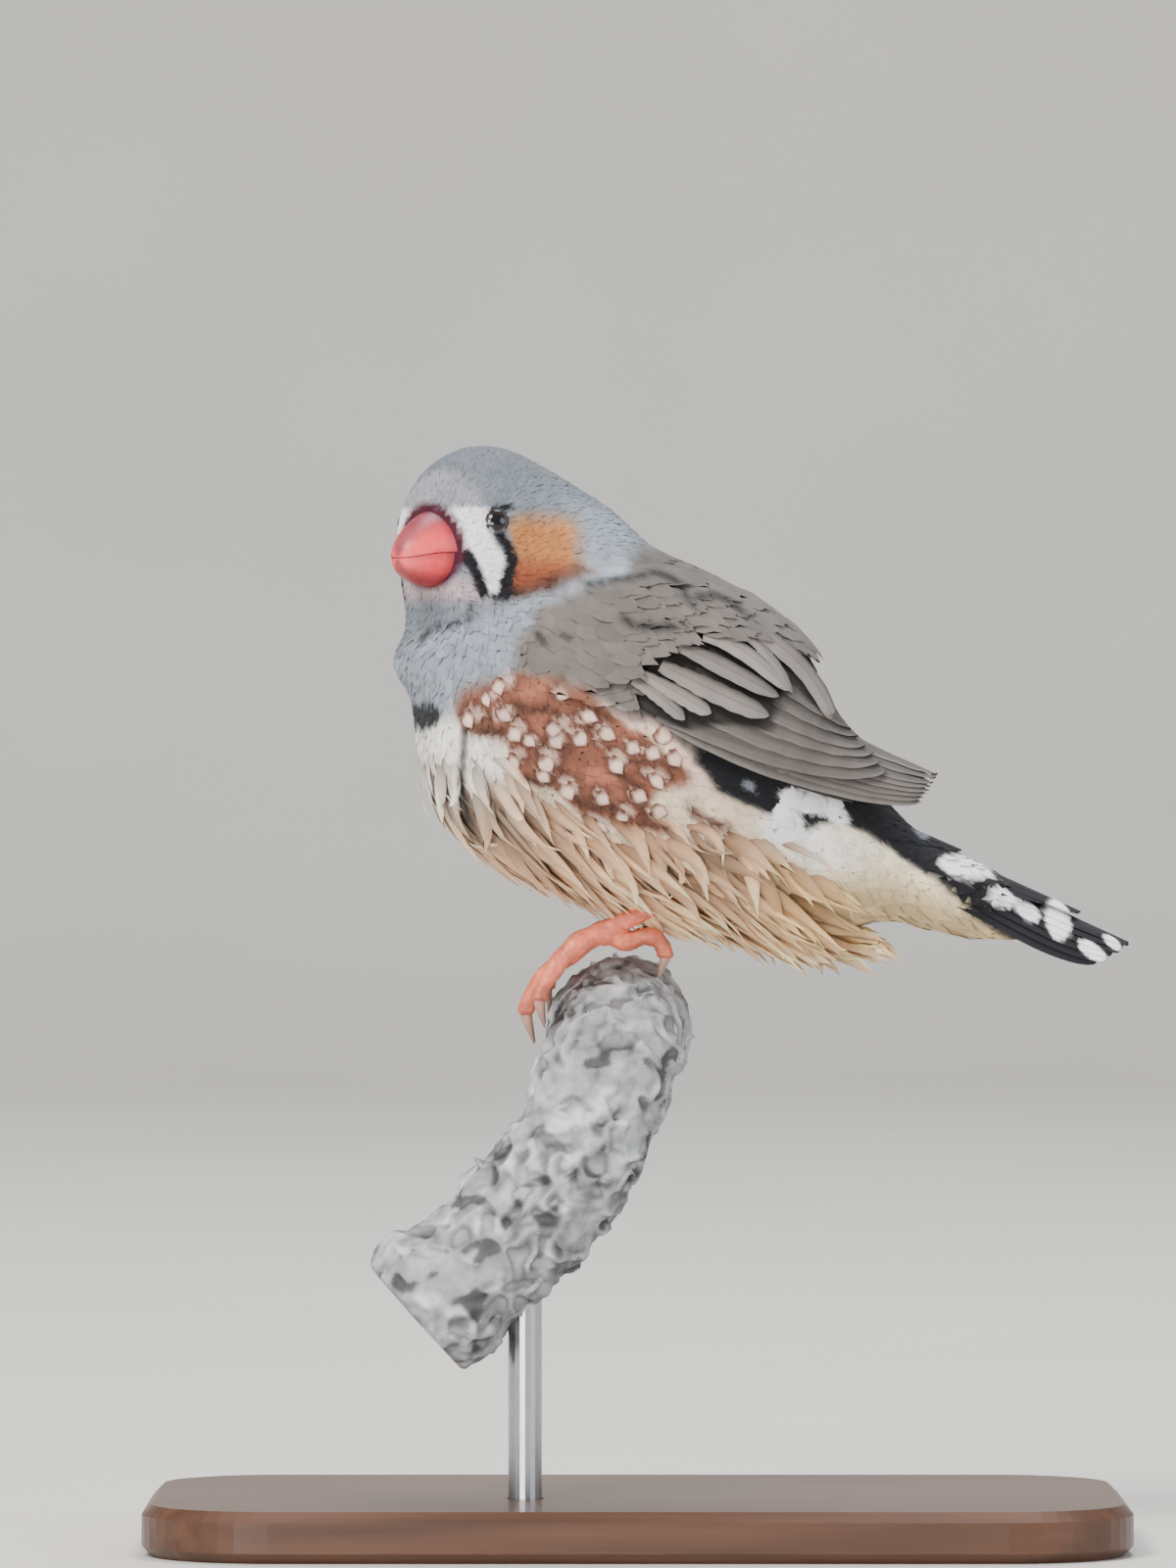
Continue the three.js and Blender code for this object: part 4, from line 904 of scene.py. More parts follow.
def plumage_material(name, roughness=0.85, barbs=26.0, depth=0.4, sheen=0.07, slant=0.8, shaft=1.0):
    """Feathers: painted colour, soft patches, a shaft, and barbs as bump and faint streaks."""
    if name in bpy.data.materials:
        return bpy.data.materials[name]
    material, tree, shader = node_material(name, roughness, 0.25, Sheen_Weight=sheen, Sheen_Roughness=0.55)
    painted = add_node(tree, "VertexColor", layer_name="Plumage")
    patches = mottled(tree, painted.outputs["Color"], 420.0, 0.10, 5.0)
    ribs = add_node(tree, "Group", node_tree=barb_group(), Count=barbs, Slant=slant)
    streak = add_node(tree, "MapRange", Value=ribs.outputs["Height"], From_Min=-1.0, To_Min=0.93, To_Max=1.04)
    spine = add_node(tree, "MapRange", Value=ribs.outputs["Shaft"], To_Min=1.0, To_Max=shaft)
    both = worked_out(tree, "MULTIPLY", streak.outputs["Result"], spine.outputs["Result"])
    put(shader.inputs["Base Color"], toned(tree, patches.outputs["Color"], both))
    bump_into(tree, shader, ribs.outputs["Height"], depth, 0.05)
    return material


def painted_material(name, roughness, scale, amount, depth, specular=0.5, coat=None, detail=4.0, bump=0.08,
                     layer="Paint"):
    """A part painted by vertex, with fine patches and grain."""
    glaze = {} if coat is None else {"Coat_Weight": coat, "Coat_Roughness": 0.12}
    material, tree, shader = node_material(name, roughness, specular, **glaze)
    painted = add_node(tree, "VertexColor", layer_name=layer)
    patches = mottled(tree, painted.outputs["Color"], scale, amount, detail)
    put(shader.inputs["Base Color"], patches.outputs["Color"])
    bump_into(tree, shader, patches.outputs["Height"], depth, bump)
    return material


def mottled_material(name, roughness, specular, colour, scale, amount, **inputs):
    """A plain finish with faint patches."""
    material, tree, shader = node_material(name, roughness, specular, **inputs)
    patches = mottled(tree, (*linear(colour), 1), scale, amount)
    put(shader.inputs["Base Color"], patches.outputs["Color"])
    return material


# ---- wings and tail ----

WING_FRONT, WING_BACK, WING_CORE_BACK = -17, 32, 24
# Feathers of the folded wing from below up, each as root, bend and tip, x and z seen from the side. A row runs
# from its first feather to its last; dark and line give the painted shade on the part of each flight feather that
# lies under the next one: how dark, and up to where across it reaches
WING_ROWS = [
    dict(first=((3.5, 97.9), (16.3, 92.6), (33.6, 88.2)), last=((11, 101.7), (23.3, 96.5), (35.7, 91.4)), count=8,
         half=1.9, levels=(0.4, 0.35), tilt=0.7, dark=0.5, line=0.80),
    dict(first=((2.6, 98.8), (16.3, 94.4), (29.4, 91.4)), last=((9.9, 107.6), (17.8, 102), (25.2, 96.4)), count=6,
         half=2.3, levels=(0.6, 0.9), tilt=0.7, dark=0.5, line=0.62),
    dict(first=((11, 108.7), (15.1, 105), (17.8, 100.1)), half=1, levels=(1, 1.7), tilt=0.45),
    dict(first=((10.2, 109.7), (18, 104.4), (22.6, 96.9)), half=1.35, levels=(1.4, 2.9), tilt=-1.1),
    dict(first=((5.2, 112.6), (12.6, 110.8), (18, 107.4)), half=1.35, levels=(0.3, 1.6), tilt=-0.5),
    dict(first=((-0.6, 102.1), (2.4, 100.3), (5.5, 97.4)), half=0.9, levels=(1, 1.4), tilt=0.4),
    dict(first=((0.6, 102.9), (4.7, 100.3), (8.6, 98)), half=1.05, levels=(1, 1.6), tilt=0.45),
    dict(first=((2.6, 103.9), (8.4, 101), (15.3, 97.6)), half=1.45, levels=(1, 1.7), tilt=0.5),
    dict(first=((4.7, 106.4), (10.2, 103.5), (16.3, 99.7)), half=1.3, levels=(1.1, 1.7), tilt=0.45),
    dict(first=((7.6, 107.3), (12.3, 105.1), (17.4, 100.1)), half=1.3, levels=(1.2, 1.9), tilt=0.45),
]
# Where the feathers of the shoulder and of its front edge root: x, z
SCAPULAR_ROOTS = [(-0.6, 119.8), (-5.8, 115.9), (-9.8, 112.9), (-12.4, 110.4), (-12.6, 106), (-11.4, 103.2),
                  (-5.4, 102.6), (-3.6, 103.6), (1, 106.9), (4.4, 108.2), (8.8, 107.6), (11.8, 110.4), (9.7, 113),
                  (1.4, 117.3)]
SHOULDER_ROOTS = [(-12.8, 108.7), (-12.6, 103.9), (-7, 101.2), (-2.6, 100.6), (-1.2, 102.4), (-4.4, 105.4),
                  (-10.5, 108.7)]
# Where the feathers under the coverts and tertials lie in the dark: x, z
WING_SHADE = [(-1.2, 102.7), (2.6, 104), (5.8, 106.7), (9, 107.8), (11.7, 107.6), (14, 108), (16.4, 106.4),
              (18.9, 103.6), (20.8, 101), (21.8, 98.6), (20.4, 99.6), (18.6, 101.6), (17.3, 100.6), (16.2, 98.6),
              (15.1, 96.4), (11, 97.1), (8.4, 96.9), (5.8, 96.5), (4.7, 96.7), (0.6, 98.8)]
# Tail feathers, their coverts and short coverts. Sides and lengths go from the middle outwards
TAIL_TIERS = [
    dict(sides=(0.7, 1.5, 2.2, 2.9, 3.5, 4.1), lengths=(1, 0.995, 0.985, 0.975, 0.96, 0.945), root=0.16, half=2.1,
         lift=1, step=-0.28),
    dict(sides=(0.5, 1.4, 2.3, 3), lengths=(0.86, 0.78, 0.66, 0.56), root=0.1, half=1.9, lift=1.9, step=-0.2),
    dict(sides=(0.4, 1.3, 2.2), lengths=(0.52, 0.46, 0.40), root=0.04, half=1.9, lift=2.6, step=-0.3),
]


def crowded(share):
    """Rows crowd towards a feather's tip, where its outline turns."""
    return 1 - (1 - share) ** 1.4


def vane_width(share):
    """Width of a wing or tail feather along its length, rounded at the tip."""
    tip = ramp(share - 0.74, 0.26)
    return np.minimum(1, 0.6 + 0.9 * share) * (0.1 + 0.9 * np.sqrt(np.maximum(1 - tip * tip, 0)))


def wing_reach(side, along, angle, lift):
    """How far from the spine the folded wing lies."""
    off = on_body(along, angle, side, 0) - SPINE_AT - along[..., None] * ALONG
    return np.linalg.norm(off, axis=-1) + lift + wing_rise(along, angle)


def wing_angle(side, along, across):
    """Angle round the spine across the folded wing, 0 on its upper edge and 1 on its lower one."""
    back = np.clip((along - WING_FRONT) / (WING_BACK - WING_FRONT), 0, 1)
    height = 2.3 + 5 * ((along - 10) / np.where(along < 10, 29, 22)) ** 2
    reach = wing_reach(side, along, np.full(along.shape, math.radians(60)), 1.5)
    high = math.radians(42) - math.radians(25) * np.minimum(back * 1.75, 1)
    low = np.maximum(np.arccos(np.clip(height / reach, 0, 1)), high + 0.14)
    return high + (low - high) * across


def wing_rise(along, angle):
    """How far the folded wing stands off the rump towards its tip, most along its upper edge."""
    share = ramp(along - 2, 10)
    past = np.maximum(along - 18.5, 0) * np.maximum(np.cos(angle), 0)
    return 0.4 * share * share * (3 - 2 * share) + 0.45 * past


def between(pair, share):
    """A value between two."""
    return pair[0] + (pair[1] - pair[0]) * share


def wing_place(side, along, height):
    """Angle round the spine at which the folded wing stands so high over the spine, and its reach there."""
    highest = np.cos(wing_angle(side, along, np.zeros(along.shape)))
    angle = np.full(along.shape, 1.0)
    for _ in range(5):
        reach = wing_reach(side, along, angle, 1.6)
        angle = np.arccos(np.clip(height / reach, 0, highest))
    return angle, reach


def wing_vane(side, row, share, draw):
    """One flight feather or covert of the folded wing, 24 rows of 11 points."""
    first, last = np.array(row["first"]), np.array(row.get("last", row["first"]))
    root, bend, tip = first + (last - first) * share + 0.12 * draw.uniform(-1, 1, (3, 2))
    bend = 2 * bend - (root + tip) / 2
    down, u = np.meshgrid(np.linspace(0, 1, 24), np.linspace(-1, 1, 11), indexing="ij")
    t = crowded(down)
    left, gone = (1 - t)[..., None], t[..., None]
    line = left ** 2 * root + 2 * left * gone * bend + gone ** 2 * tip - SPINE_AT[[0, 2]]
    course = normalised(left * (bend - root) + gone * (tip - bend))
    along, height = line @ ALONG[[0, 2]], line @ OVER[[0, 2]]
    angle, reach = wing_place(side, along, height)
    width = row["half"] * vane_width(t)
    width = u * (width + 0.08 * np.sin(40 * t + 9 * draw.random()) * np.abs(u) ** 6 * draw.uniform(0.2, 1))
    angle = angle + width * (course @ ALONG[[0, 2]]) / np.maximum(reach, 6)
    along = along + width * (course @ OVER[[0, 2]]) - 0.12 * row["half"] * u * u * t
    over = between(row["levels"], t) + row["tilt"] * (0.5 + 0.5 * u) * (0.3 + 0.7 * t) - 0.2 * u * u * (1 - 0.4 * t)
    points = on_body(along, angle, side, 0)
    ray = normalised(points - SPINE_AT - along[..., None] * ALONG)
    return points + ray * (0.7 + wing_rise(along, angle) + over)[..., None]


def wing_shades(row, grid, colours, draw):
    """Grey-brown flight feathers and coverts with pale broad edges, with painted shade where feathers lie under
    others.
    """
    t, u = vane_spread(grid[None])
    wing_shade_tone, fringe, mantle = colours.wing_shade_tone, colours.fringe, colours.mantle
    shades = np.ones(grid.shape) * (mantle * 0.94 if "line" in row else fringe)
    if "line" in row:
        # Painted shade on the part of each flight feather that lies under the next one
        lay(shades, wing_shade_tone * 0.75, row["dark"] * ramp(row["line"] - u, 0.12))
        lay(shades, fringe, 0.35 * ramp(u - 0.88, 0.08))
        # Painted shade where the flight feathers lie under the coverts and tertials
        lay(shades, wing_shade_tone * 0.42, inside((grid[..., 0], grid[..., 2]), WING_SHADE, 0, 0.35))
    else:
        lay(shades, mantle, 0.75 * np.clip(0.35 - u, 0, 1))
        # Painted shade along the edge of each covert that lies under the next one
        lay(shades, wing_shade_tone * 0.7, 0.7 * ramp(-u - 0.55, 0.4))
        lay(shades, mantle, 0.5 * ramp(t - 0.8, 0.2))
    return shades * (1 + 0.04 * draw.standard_normal())


def on_tail(share, aside, lift):
    """Points along the tail, off its middle line and over it."""
    length = np.linalg.norm(TAIL_TIP - TAIL_ROOT)
    back = (TAIL_TIP - TAIL_ROOT) / length
    up = np.array([-back[2], 0, back[0]])
    point = TAIL_ROOT + back * (share * length)[..., None] + up * (lift - TAIL_TENT * aside * aside)[..., None]
    point[..., 1] += aside
    return point


def tail_vane(tier, order, side, draw):
    """One feather of the tail, 64 rows of 13 points."""
    length = tier["lengths"][order] + 0.006 * draw.uniform(-1, 1)
    down, u = np.meshgrid(np.linspace(0, 1, 64), np.linspace(-1, 1, 13), indexing="ij")
    t = crowded(down)
    aside = (0.55 + 0.45 * t) * tier["sides"][order] * side + u * tier["half"] * vane_width(t)
    lift = (tier["lift"] + tier["step"] * order) * (0.8 + 0.2 * t) + 0.25 - 0.22 * u * u + 0.1 * side
    return on_tail(tier["root"] + (length - tier["root"]) * t, aside, lift)


def closed_plate(name, top, bottom, material):
    """A shell between two grids of points."""
    rows, columns = top.shape[:2]
    end, edge = rows - 1, columns - 1
    quads = []
    for r, c in itertools.product(range(end), range(edge)):
        quads.append([(r, c, 0), (r, c + 1, 0), (r + 1, c + 1, 0), (r + 1, c, 0)])
        quads.append([(r, c, 1), (r + 1, c, 1), (r + 1, c + 1, 1), (r, c + 1, 1)])
    for r in range(end):
        quads.append([(r, 0, 0), (r + 1, 0, 0), (r + 1, 0, 1), (r, 0, 1)])
        quads.append([(r, edge, 1), (r + 1, edge, 1), (r + 1, edge, 0), (r, edge, 0)])
    for c in range(edge):
        quads.append([(0, c, 1), (0, c + 1, 1), (0, c + 1, 0), (0, c, 0)])
        quads.append([(end, c, 0), (end, c + 1, 0), (end, c + 1, 1), (end, c, 1)])
    faces = np.array(quads) @ np.array([columns, 1, rows * columns])
    return closed_piece(name, np.concatenate([top.reshape(-1, 3), bottom.reshape(-1, 3)]), faces, material)


# ---- bare parts ----

def curve_through(points, steps):
    """Even steps along a smooth curve through points."""
    path = np.array(points, dtype=float)
    path = np.concatenate([[2 * path[0] - path[1]], path, [2 * path[-1] - path[-2]]])
    found = []
    for a, b, c, d in zip(path, path[1:], path[2:], path[3:]):
        first, middle, last = (max(float(np.linalg.norm(q - p)) ** 0.5, 1e-4) for p, q in ((a, b), (b, c), (c, d)))
        leave = ((b - a) / first - (c - a) / (first + middle) + (c - b) / middle) * middle
        reach = ((c - b) / middle - (d - b) / (middle + last) + (d - c) / last) * middle
        t = np.linspace(0, 1, 41)[:, None][:-1]
        found.append((2 * t ** 3 - 3 * t ** 2 + 1) * b + (t ** 3 - 2 * t ** 2 + t) * leave
                     + (-2 * t ** 3 + 3 * t ** 2) * c + (t ** 3 - t ** 2) * reach)
    found = np.concatenate([*found, path[-2][None]])
    run = np.concatenate([[0], np.cumsum(np.linalg.norm(np.diff(found, axis=0), axis=1))])
    even = np.linspace(0, run[-1], steps + 1)
    return np.stack([np.interp(even, run, found[:, axis]) for axis in range(3)], axis=1)


def frames_along(path):
    """Directions across a path that turn with it and no more."""
    ahead = normalised(np.gradient(path, axis=0))
    flattest = np.eye(3)[int(np.argmin(np.abs(ahead[0])))]
    normal = normalised(np.cross(ahead[0], normalised(np.cross(ahead[0], flattest))))
    normals = [normal]
    for direction in ahead[1:]:
        normal = normalised(normal - direction * float(normal @ direction))
        normals.append(normal)
    normals = np.array(normals)
    return normals, np.cross(ahead, normals)


def tube_points(path, radii, segments):
    """Rings along a path; radii has one row for each step, and one column for all segments or for each."""
    normals, binormals = frames_along(path)
    angle = np.linspace(0, 2 * math.pi, segments, endpoint=False)
    return (path[:, None] + normals[:, None] * (radii * np.cos(angle))[..., None]
            + binormals[:, None] * (radii * np.sin(angle))[..., None])


def ring_faces(count, around):
    """Faces between rings of points, and round the point after them in the middle of each end."""
    faces, last = [], (count - 1) * around
    for i, j in itertools.product(range(0, last, around), range(around)):
        k = (j + 1) % around
        faces.append([i + j, i + k, i + around + k, i + around + j])
    for j in range(around):
        k = (j + 1) % around
        faces += [[last + around, k, j], [last + around + 1, last + j, last + k]]
    return faces


def tube_piece(name, path, radii, segments, material):
    """A closed tube with a point in the middle of each end."""
    rings = tube_points(path, radii, segments)
    points = np.concatenate([rings.reshape(-1, 3), path[:1], path[-1:]])
    return closed_piece(name, points, ring_faces(len(path), segments), material)


BRANCH_STEPS = 280
BRANCH_LINE = curve_through(BRANCH_PATH, BRANCH_STEPS)
BRANCH_NORMALS, BRANCH_BINORMALS = frames_along(BRANCH_LINE)


def branch_radius(share, angle):
    """Radius of the branch under its bark."""
    swelling = 0.35 * np.sin(share * 23) + 0.3 * np.sin(3 * angle + share * 9)
    knot = 0.9 * np.exp(-((share - 0.06) / 0.05) ** 2)
    return BRANCH_R + swelling * 0.7 + knot


def bark_grain(points):
    """Points turned and bent, so that the bark's lumps follow no straight lines."""
    turned = points @ np.array([[math.cos(GRAIN_TURN), -math.sin(GRAIN_TURN), 0],
                                [math.sin(GRAIN_TURN), math.cos(GRAIN_TURN), 0], [0, 0, 1]])
    turned = turned @ np.array([[1, 0, 0], [0, math.cos(GRAIN_LEAN), -math.sin(GRAIN_LEAN)],
                                [0, math.sin(GRAIN_LEAN), math.cos(GRAIN_LEAN)]])
    return turned + 1.1 * np.stack([lumps(turned, 2.3, seed) for seed in (41, 42, 43)], axis=-1)


def bark_ridges(points):
    """1 on the crests of the lichen's ridges."""
    return np.clip(1 - 3.2 * np.abs(lumps(points, 2.7, 21)), 0, 1) * np.clip(1.4 * lumps(points, 5, 29) + 0.7, 0, 1)


def clear_of_branch(point, radius, gap=0.12):
    """A point pushed out of the branch until something of that radius lies on it."""
    near = int(np.argmin(np.linalg.norm(BRANCH_LINE - point, axis=1)))
    away = point - BRANCH_LINE[near]
    angle = math.atan2(away @ BRANCH_BINORMALS[near], away @ BRANCH_NORMALS[near])
    least = branch_radius(near / BRANCH_STEPS, angle) + gap + radius
    reach = np.linalg.norm(away)
    return BRANCH_LINE[near] + away / reach * least if reach < least else point


def toe_path(side, spots):
    """Where a foot's toes start, and a line along one of them that lies on the branch."""
    base = clear_of_branch(np.array([TOE_BASE[0], side * FOOT_SIDE, TOE_BASE[1]]), 1.3, 0.36)
    rough = curve_through([base, *(base + np.array([x, side * y, z]) for x, y, z in spots)], 9)
    laid = [clear_of_branch(spot, 1.1 if i < 7 else 0.62, 0.25) for i, spot in enumerate(rough)]
    return base, curve_through(laid, 60)


def bill_grid(upper):
    """30 rings of 40 points round one half of the bill, in head axes."""
    share, angle = np.meshgrid(np.linspace(0, 1, 30) ** 0.8, np.linspace(0, 2 * math.pi, 40, endpoint=False),
                               indexing="ij")
    taper = np.sqrt(np.maximum(1 - share ** 1.7, 0)) * 0.94 + 0.06
    forward = BILL_BASE + share * 10.1
    left = (4.42 + 0.75 * np.clip(1 - share / 0.62, 0, 1)) * taper * np.cos(angle)
    up = -1.15 + (-2.9 + 1.15) * share ** 1.3 + 5.15 * taper * np.sin(angle)
    up += 0.28 * np.clip(np.sin(angle), 0, 1) ** 14 * taper * (1 - share)
    curve = np.sin(ramp(forward - 9, 6) * math.pi)
    gape = -1.8 - math.tan(math.radians(6)) * (forward - BILL_BASE) + 0.22 * curve
    if upper:
        up = np.maximum(up, gape + 0.05)
        left *= 1 + 0.015 * np.clip(1 - (up - gape) / 1.2, 0, 1)
    else:
        up = np.minimum(up, gape - 0.05)
        left *= 0.955
    return np.stack([forward, left, up], axis=-1)


# ---- operators ----

def settings_of(context):
    """The sizes that the panel shows, and its colours as arrays."""
    group = context.scene.finch_colours
    colours = {name: np.array(getattr(group, name)) for name in group.__annotations__}
    return context.scene.finch_sizes, SimpleNamespace(**colours)


def skin_samples(count, draw):
    """Random places on the skin, each with its spot on the skin's unwrap."""
    skin = bpy.data.objects.get("skin")
    if skin is None:
        raise RuntimeError("The feathers need the skin")
    mesh = skin.data
    mesh.calc_loop_triangles()
    total = len(mesh.loop_triangles)
    verts, loops = np.empty(total * 3, dtype=np.int32), np.empty(total * 3, dtype=np.int32)
    mesh.loop_triangles.foreach_get("vertices", verts)
    mesh.loop_triangles.foreach_get("loops", loops)
    uv = np.empty(len(mesh.loops) * 2)
    mesh.uv_layers["OFBake"].data.foreach_get("uv", uv)
    corners = places(skin)[verts.reshape(-1, 3)]
    uv = uv.reshape(-1, 2)[loops.reshape(-1, 3)]
    areas = np.linalg.norm(np.cross(corners[:, 1] - corners[:, 0], corners[:, 2] - corners[:, 0]), axis=1)
    chosen = draw.choice(total, size=count, p=areas / areas.sum())
    first, second = draw.random(count), draw.random(count)
    flip = first + second > 1
    first[flip], second[flip] = 1 - first[flip], 1 - second[flip]
    shares = np.stack([1 - first - second, first, second], axis=1)
    return [np.einsum("ij,ijk->ik", shares, part[chosen]) for part in (corners, uv)]


def skin_spots(points, samples=20000, seed=5):
    """The spot on the skin's unwrap nearest to each point."""
    places_on_skin, uv = skin_samples(samples, np.random.default_rng(seed))
    return np.array([uv[np.argmin(np.sum((places_on_skin - point) ** 2, axis=1))] for point in points])


def long_vanes(name, vanes, material):
    """A piece from pairs of a long feather's points and colours, its upper sides out."""
    grids, shades = (np.stack(part)[:, :, ::-1] for part in zip(*vanes))
    return vane_piece(name, grids, shades, skin_spots(grids[:, 0, grids.shape[2] // 2]), material)


class FINCH_OT_skin(Operator):
    """One skin under the whole coat, from the forms of the body and head"""
    bl_idname = "finch.skin"
    bl_label = "Skin"

    def execute(self, context):
        sizes, colours = settings_of(context)
        forms = [(at, half, (0, math.radians(pitch), 0)) for at, half, pitch in BODY_FORMS.values()]
        forms += [(HEAD_AT + np.array(at) @ HEAD_AXES, half, (0, 0, math.pi + HEAD_YAW))
                  for at, half in HEAD_FORMS.values()]
        made = []
        for at, half, turn in forms:
            made.append(ball(at, turn, 40, 28, 1))
            made[-1].scale = Vector(half) * MM
        skin = joined(made, "skin")
        rest_at_origin(skin)
        remeshed(skin, 0.7)
        depth = sizes.coat_depth / MM
        points = settled(places(skin), -depth, passes=3)
        share = np.maximum(0.22, 1 - 0.78 * head_share(points) - 0.45 * fine_share(points))
        points = settled(points, -depth * share)
        place(skin, points)
        if len(skin.data.polygons) < 2000:
            raise RuntimeError("The skin's forms didn't join")
        skin.data.uv_layers.new(name="OFBake")
        on_whole_mesh(skin, bpy.ops.uv.smart_project, angle_limit=math.radians(60), island_margin=0.004)
        bpy.ops.object.shade_smooth()
        skin.data.materials.clear()
        skin.data.materials.append(painted_material("Skin under the coat", 0.9, 900.0, 0.25, 0.6, 0.2, bump=0.1,
                                                    layer="Plumage"))
        # The skin is painted at 0.9 of the coat's colour as painted shade under the feathers, and darker near the
        # eyes
        near_eye = nearest_of(points, [middle for middle, _ in EYES.values()])
        paint(skin, "Plumage", plumage(points, colours) * (0.9 - 0.45 * np.clip(2.6 - near_eye, 0, 1))[:, None])
        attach(skin, "root")
        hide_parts("head", "neck", "torso")
        return {"FINISHED"}


def head_share(points):
    """1 on the head, 0 on the body, soft between them."""
    return ramp(-neck_depth(points) - 107.5, 4)


def fine_share(points):
    """1 where the body's feathers are as small as on the bib, the flanks and the rump."""
    flat = points[..., 0], points[..., 2]
    sides = inside(flat, CHESTNUT, -1.5, 2.0) * (np.abs(points[..., 1]) > 4)
    return np.maximum(inside(flat, BIB, -2, 6.0) * 0.8, np.maximum(sides, inside(flat, RUMP, -0.8, 1.6)))


def bill_reach(points):
    """Below 1 on the bill and the bare skin at its base."""
    local = in_head(points)
    reach = np.hypot(local[..., 1] / 4.95, (local[..., 2] + 1.35) / 4.95)
    return np.where(local[..., 0] < 7.5, 9.0, reach)


def clear_of_bare_parts(points):
    """Where feathers may root: off the bill's base and the eyes."""
    clear = bill_reach(points) > 0.97
    for middle, outward in EYES.values():
        off = points - middle
        across, high = (off @ axis for axis in eye_axes(outward))
        clear &= (off @ outward < 0) | ((across / 1.3) ** 2 + (high / 1.75) ** 2 > 1)
    return clear


def lock_line(x):
    """Height under which the loose locks of breast and belly root."""
    return np.interp(x, *LOCK_LINE)


def under_locks(points):
    """1 where the short coat lies in the shade of the locks."""
    x, z = points[..., 0], points[..., 2]
    return ramp(lock_line(x) - 1 - z, 2.5) * ramp(17 - x, 5)


class FINCH_OT_coat(Operator):
    """Feathers over the skin of the head and body, smallest on the face"""
    bl_idname = "finch.coat"
    bl_label = "Coat"

    def execute(self, context):
        sizes, colours = settings_of(context)
        depth = sizes.coat_depth / MM
        draw = np.random.default_rng(11)
        points, uv = skin_samples(160000, draw)
        points, uv = picked(clear_of_bare_parts(points), points, uv)
        head, small = head_share(points), fine_share(points)
        face = ramp(in_head(points)[:, 0] + 1, 7) * head
        gaps = sizes.body_spacing / MM * (1 - 0.36 * small) * (1 - head)
        gaps = gaps + sizes.head_spacing / MM * (1 - 0.12 * face) * head
        points, uv, head, face, small = picked(thinned(points, gaps, draw), points, uv, head, face, small)
        length = (5.4 - 2.6 * small) * (1 - head) + (2.0 - 0.6 * face) * head
        width = (2.5 - 1.05 * small) * (1 - head) + (0.95 - 0.2 * face) * head
        length *= draw.uniform(0.85, 1.15, len(points))
        body, low, front = head <= 0.5, points[:, 2] <= 100, points[:, 0] < -4
        large = body & (small <= 0.6)
        groups = {"coat_head": ~body, "coat_sides": body & ~large, "coat_neck": large & ~low,
                  "coat_breast": large & low & front, "coat_flank": large & low & ~front}
        for name, chosen in groups.items():
            on_head, below = name == "coat_head", name in ("coat_breast", "coat_flank")
            levels = [-0.2 * depth, -0.05, 0]
            if not on_head:
                levels = np.array([-depth, -0.32, -0.08, 0.08]) * (1 - 0.72 * small[chosen][:, None])
            grids = lay_vanes(points[chosen], length[chosen], width[chosen], levels, 0.08 if on_head else 0.13, draw,
                              fall=0.35 if name == "coat_breast" else None, stray=0.1, columns=2 if on_head else 3,
                              rising=0.06 if below else 0.025)
            tone = 1 + (0.02 if on_head else 0.035) * draw.standard_normal((len(grids), 1, 1, 1))
            shades = plumage(grids, colours) * tone
            if below:
                shades = shades * (1 - under_locks(grids)[..., None] * LOCK_SHADE)
            coat = vane_piece(name, grids, shades, uv[chosen], plumage_material("Plumage"))
            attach(coat, "root")
            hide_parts("head" if on_head else "torso")
        return {"FINISHED"}


class FINCH_OT_drops(Operator):
    """Pale rounded feather tips that spot the flanks, and white ones of the rump"""
    bl_idname = "finch.drops"
    bl_label = "Flank drops"

    def execute(self, context):
        _, colours = settings_of(context)
        draw = np.random.default_rng(53)
        points, uv = skin_samples(60000, draw)
        chosen = []
        for side, (x, z, *_) in itertools.product((-1, 1), DROPS + RUMP_TIPS):
            reach = np.hypot(points[:, 0] - (x - 1.05), points[:, 2] - (z + 0.65)) + 50 * (points[:, 1] * side < 3)
            chosen.append(int(np.argmin(reach)))
        long, wide = np.array([spot[2:4] for spot in 2 * (DROPS + RUMP_TIPS)]).T
        grids = lay_vanes(points[chosen], 1.8 + 0.9 * long, 0.2 + 2.0 * wide, DROP_LEVELS, 0.16, draw, fall=0.15,
                          stray=0.35, columns=8, ragged=0.008, rising=0.03,
                          outline=lambda share: rounded_vane(share, 0.7, 0.6))
        down, u = vane_spread(grids)
        wave = 0.1 * np.sin(5 * u[None] + 9 * draw.random((len(grids), 1, 1)))
        pale = ramp(1.08 + wave - np.hypot((down - 0.66) / 0.38, 0.8 * u), 0.5)[..., None]
        rump = np.tile(np.arange(len(DROPS + RUMP_TIPS)) >= len(DROPS), 2)[:, None, None, None]
        base = np.where(rump, colours.black, colours.chestnut * 0.72)
        pale = np.where(rump, ramp(down[..., None] - 0.1, 0.15), pale)
        shades = base + (np.where(rump, colours.lore, colours.spot) - base) * pale
        shades = shades * draw.uniform(0.93, 1.03, (len(grids), 1, 1, 1))
        drops = vane_piece("flank_drops", grids, shades, uv[chosen], plumage_material("Plumage"))
        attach(drops, "root")
        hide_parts("torso")
        return {"FINISHED"}


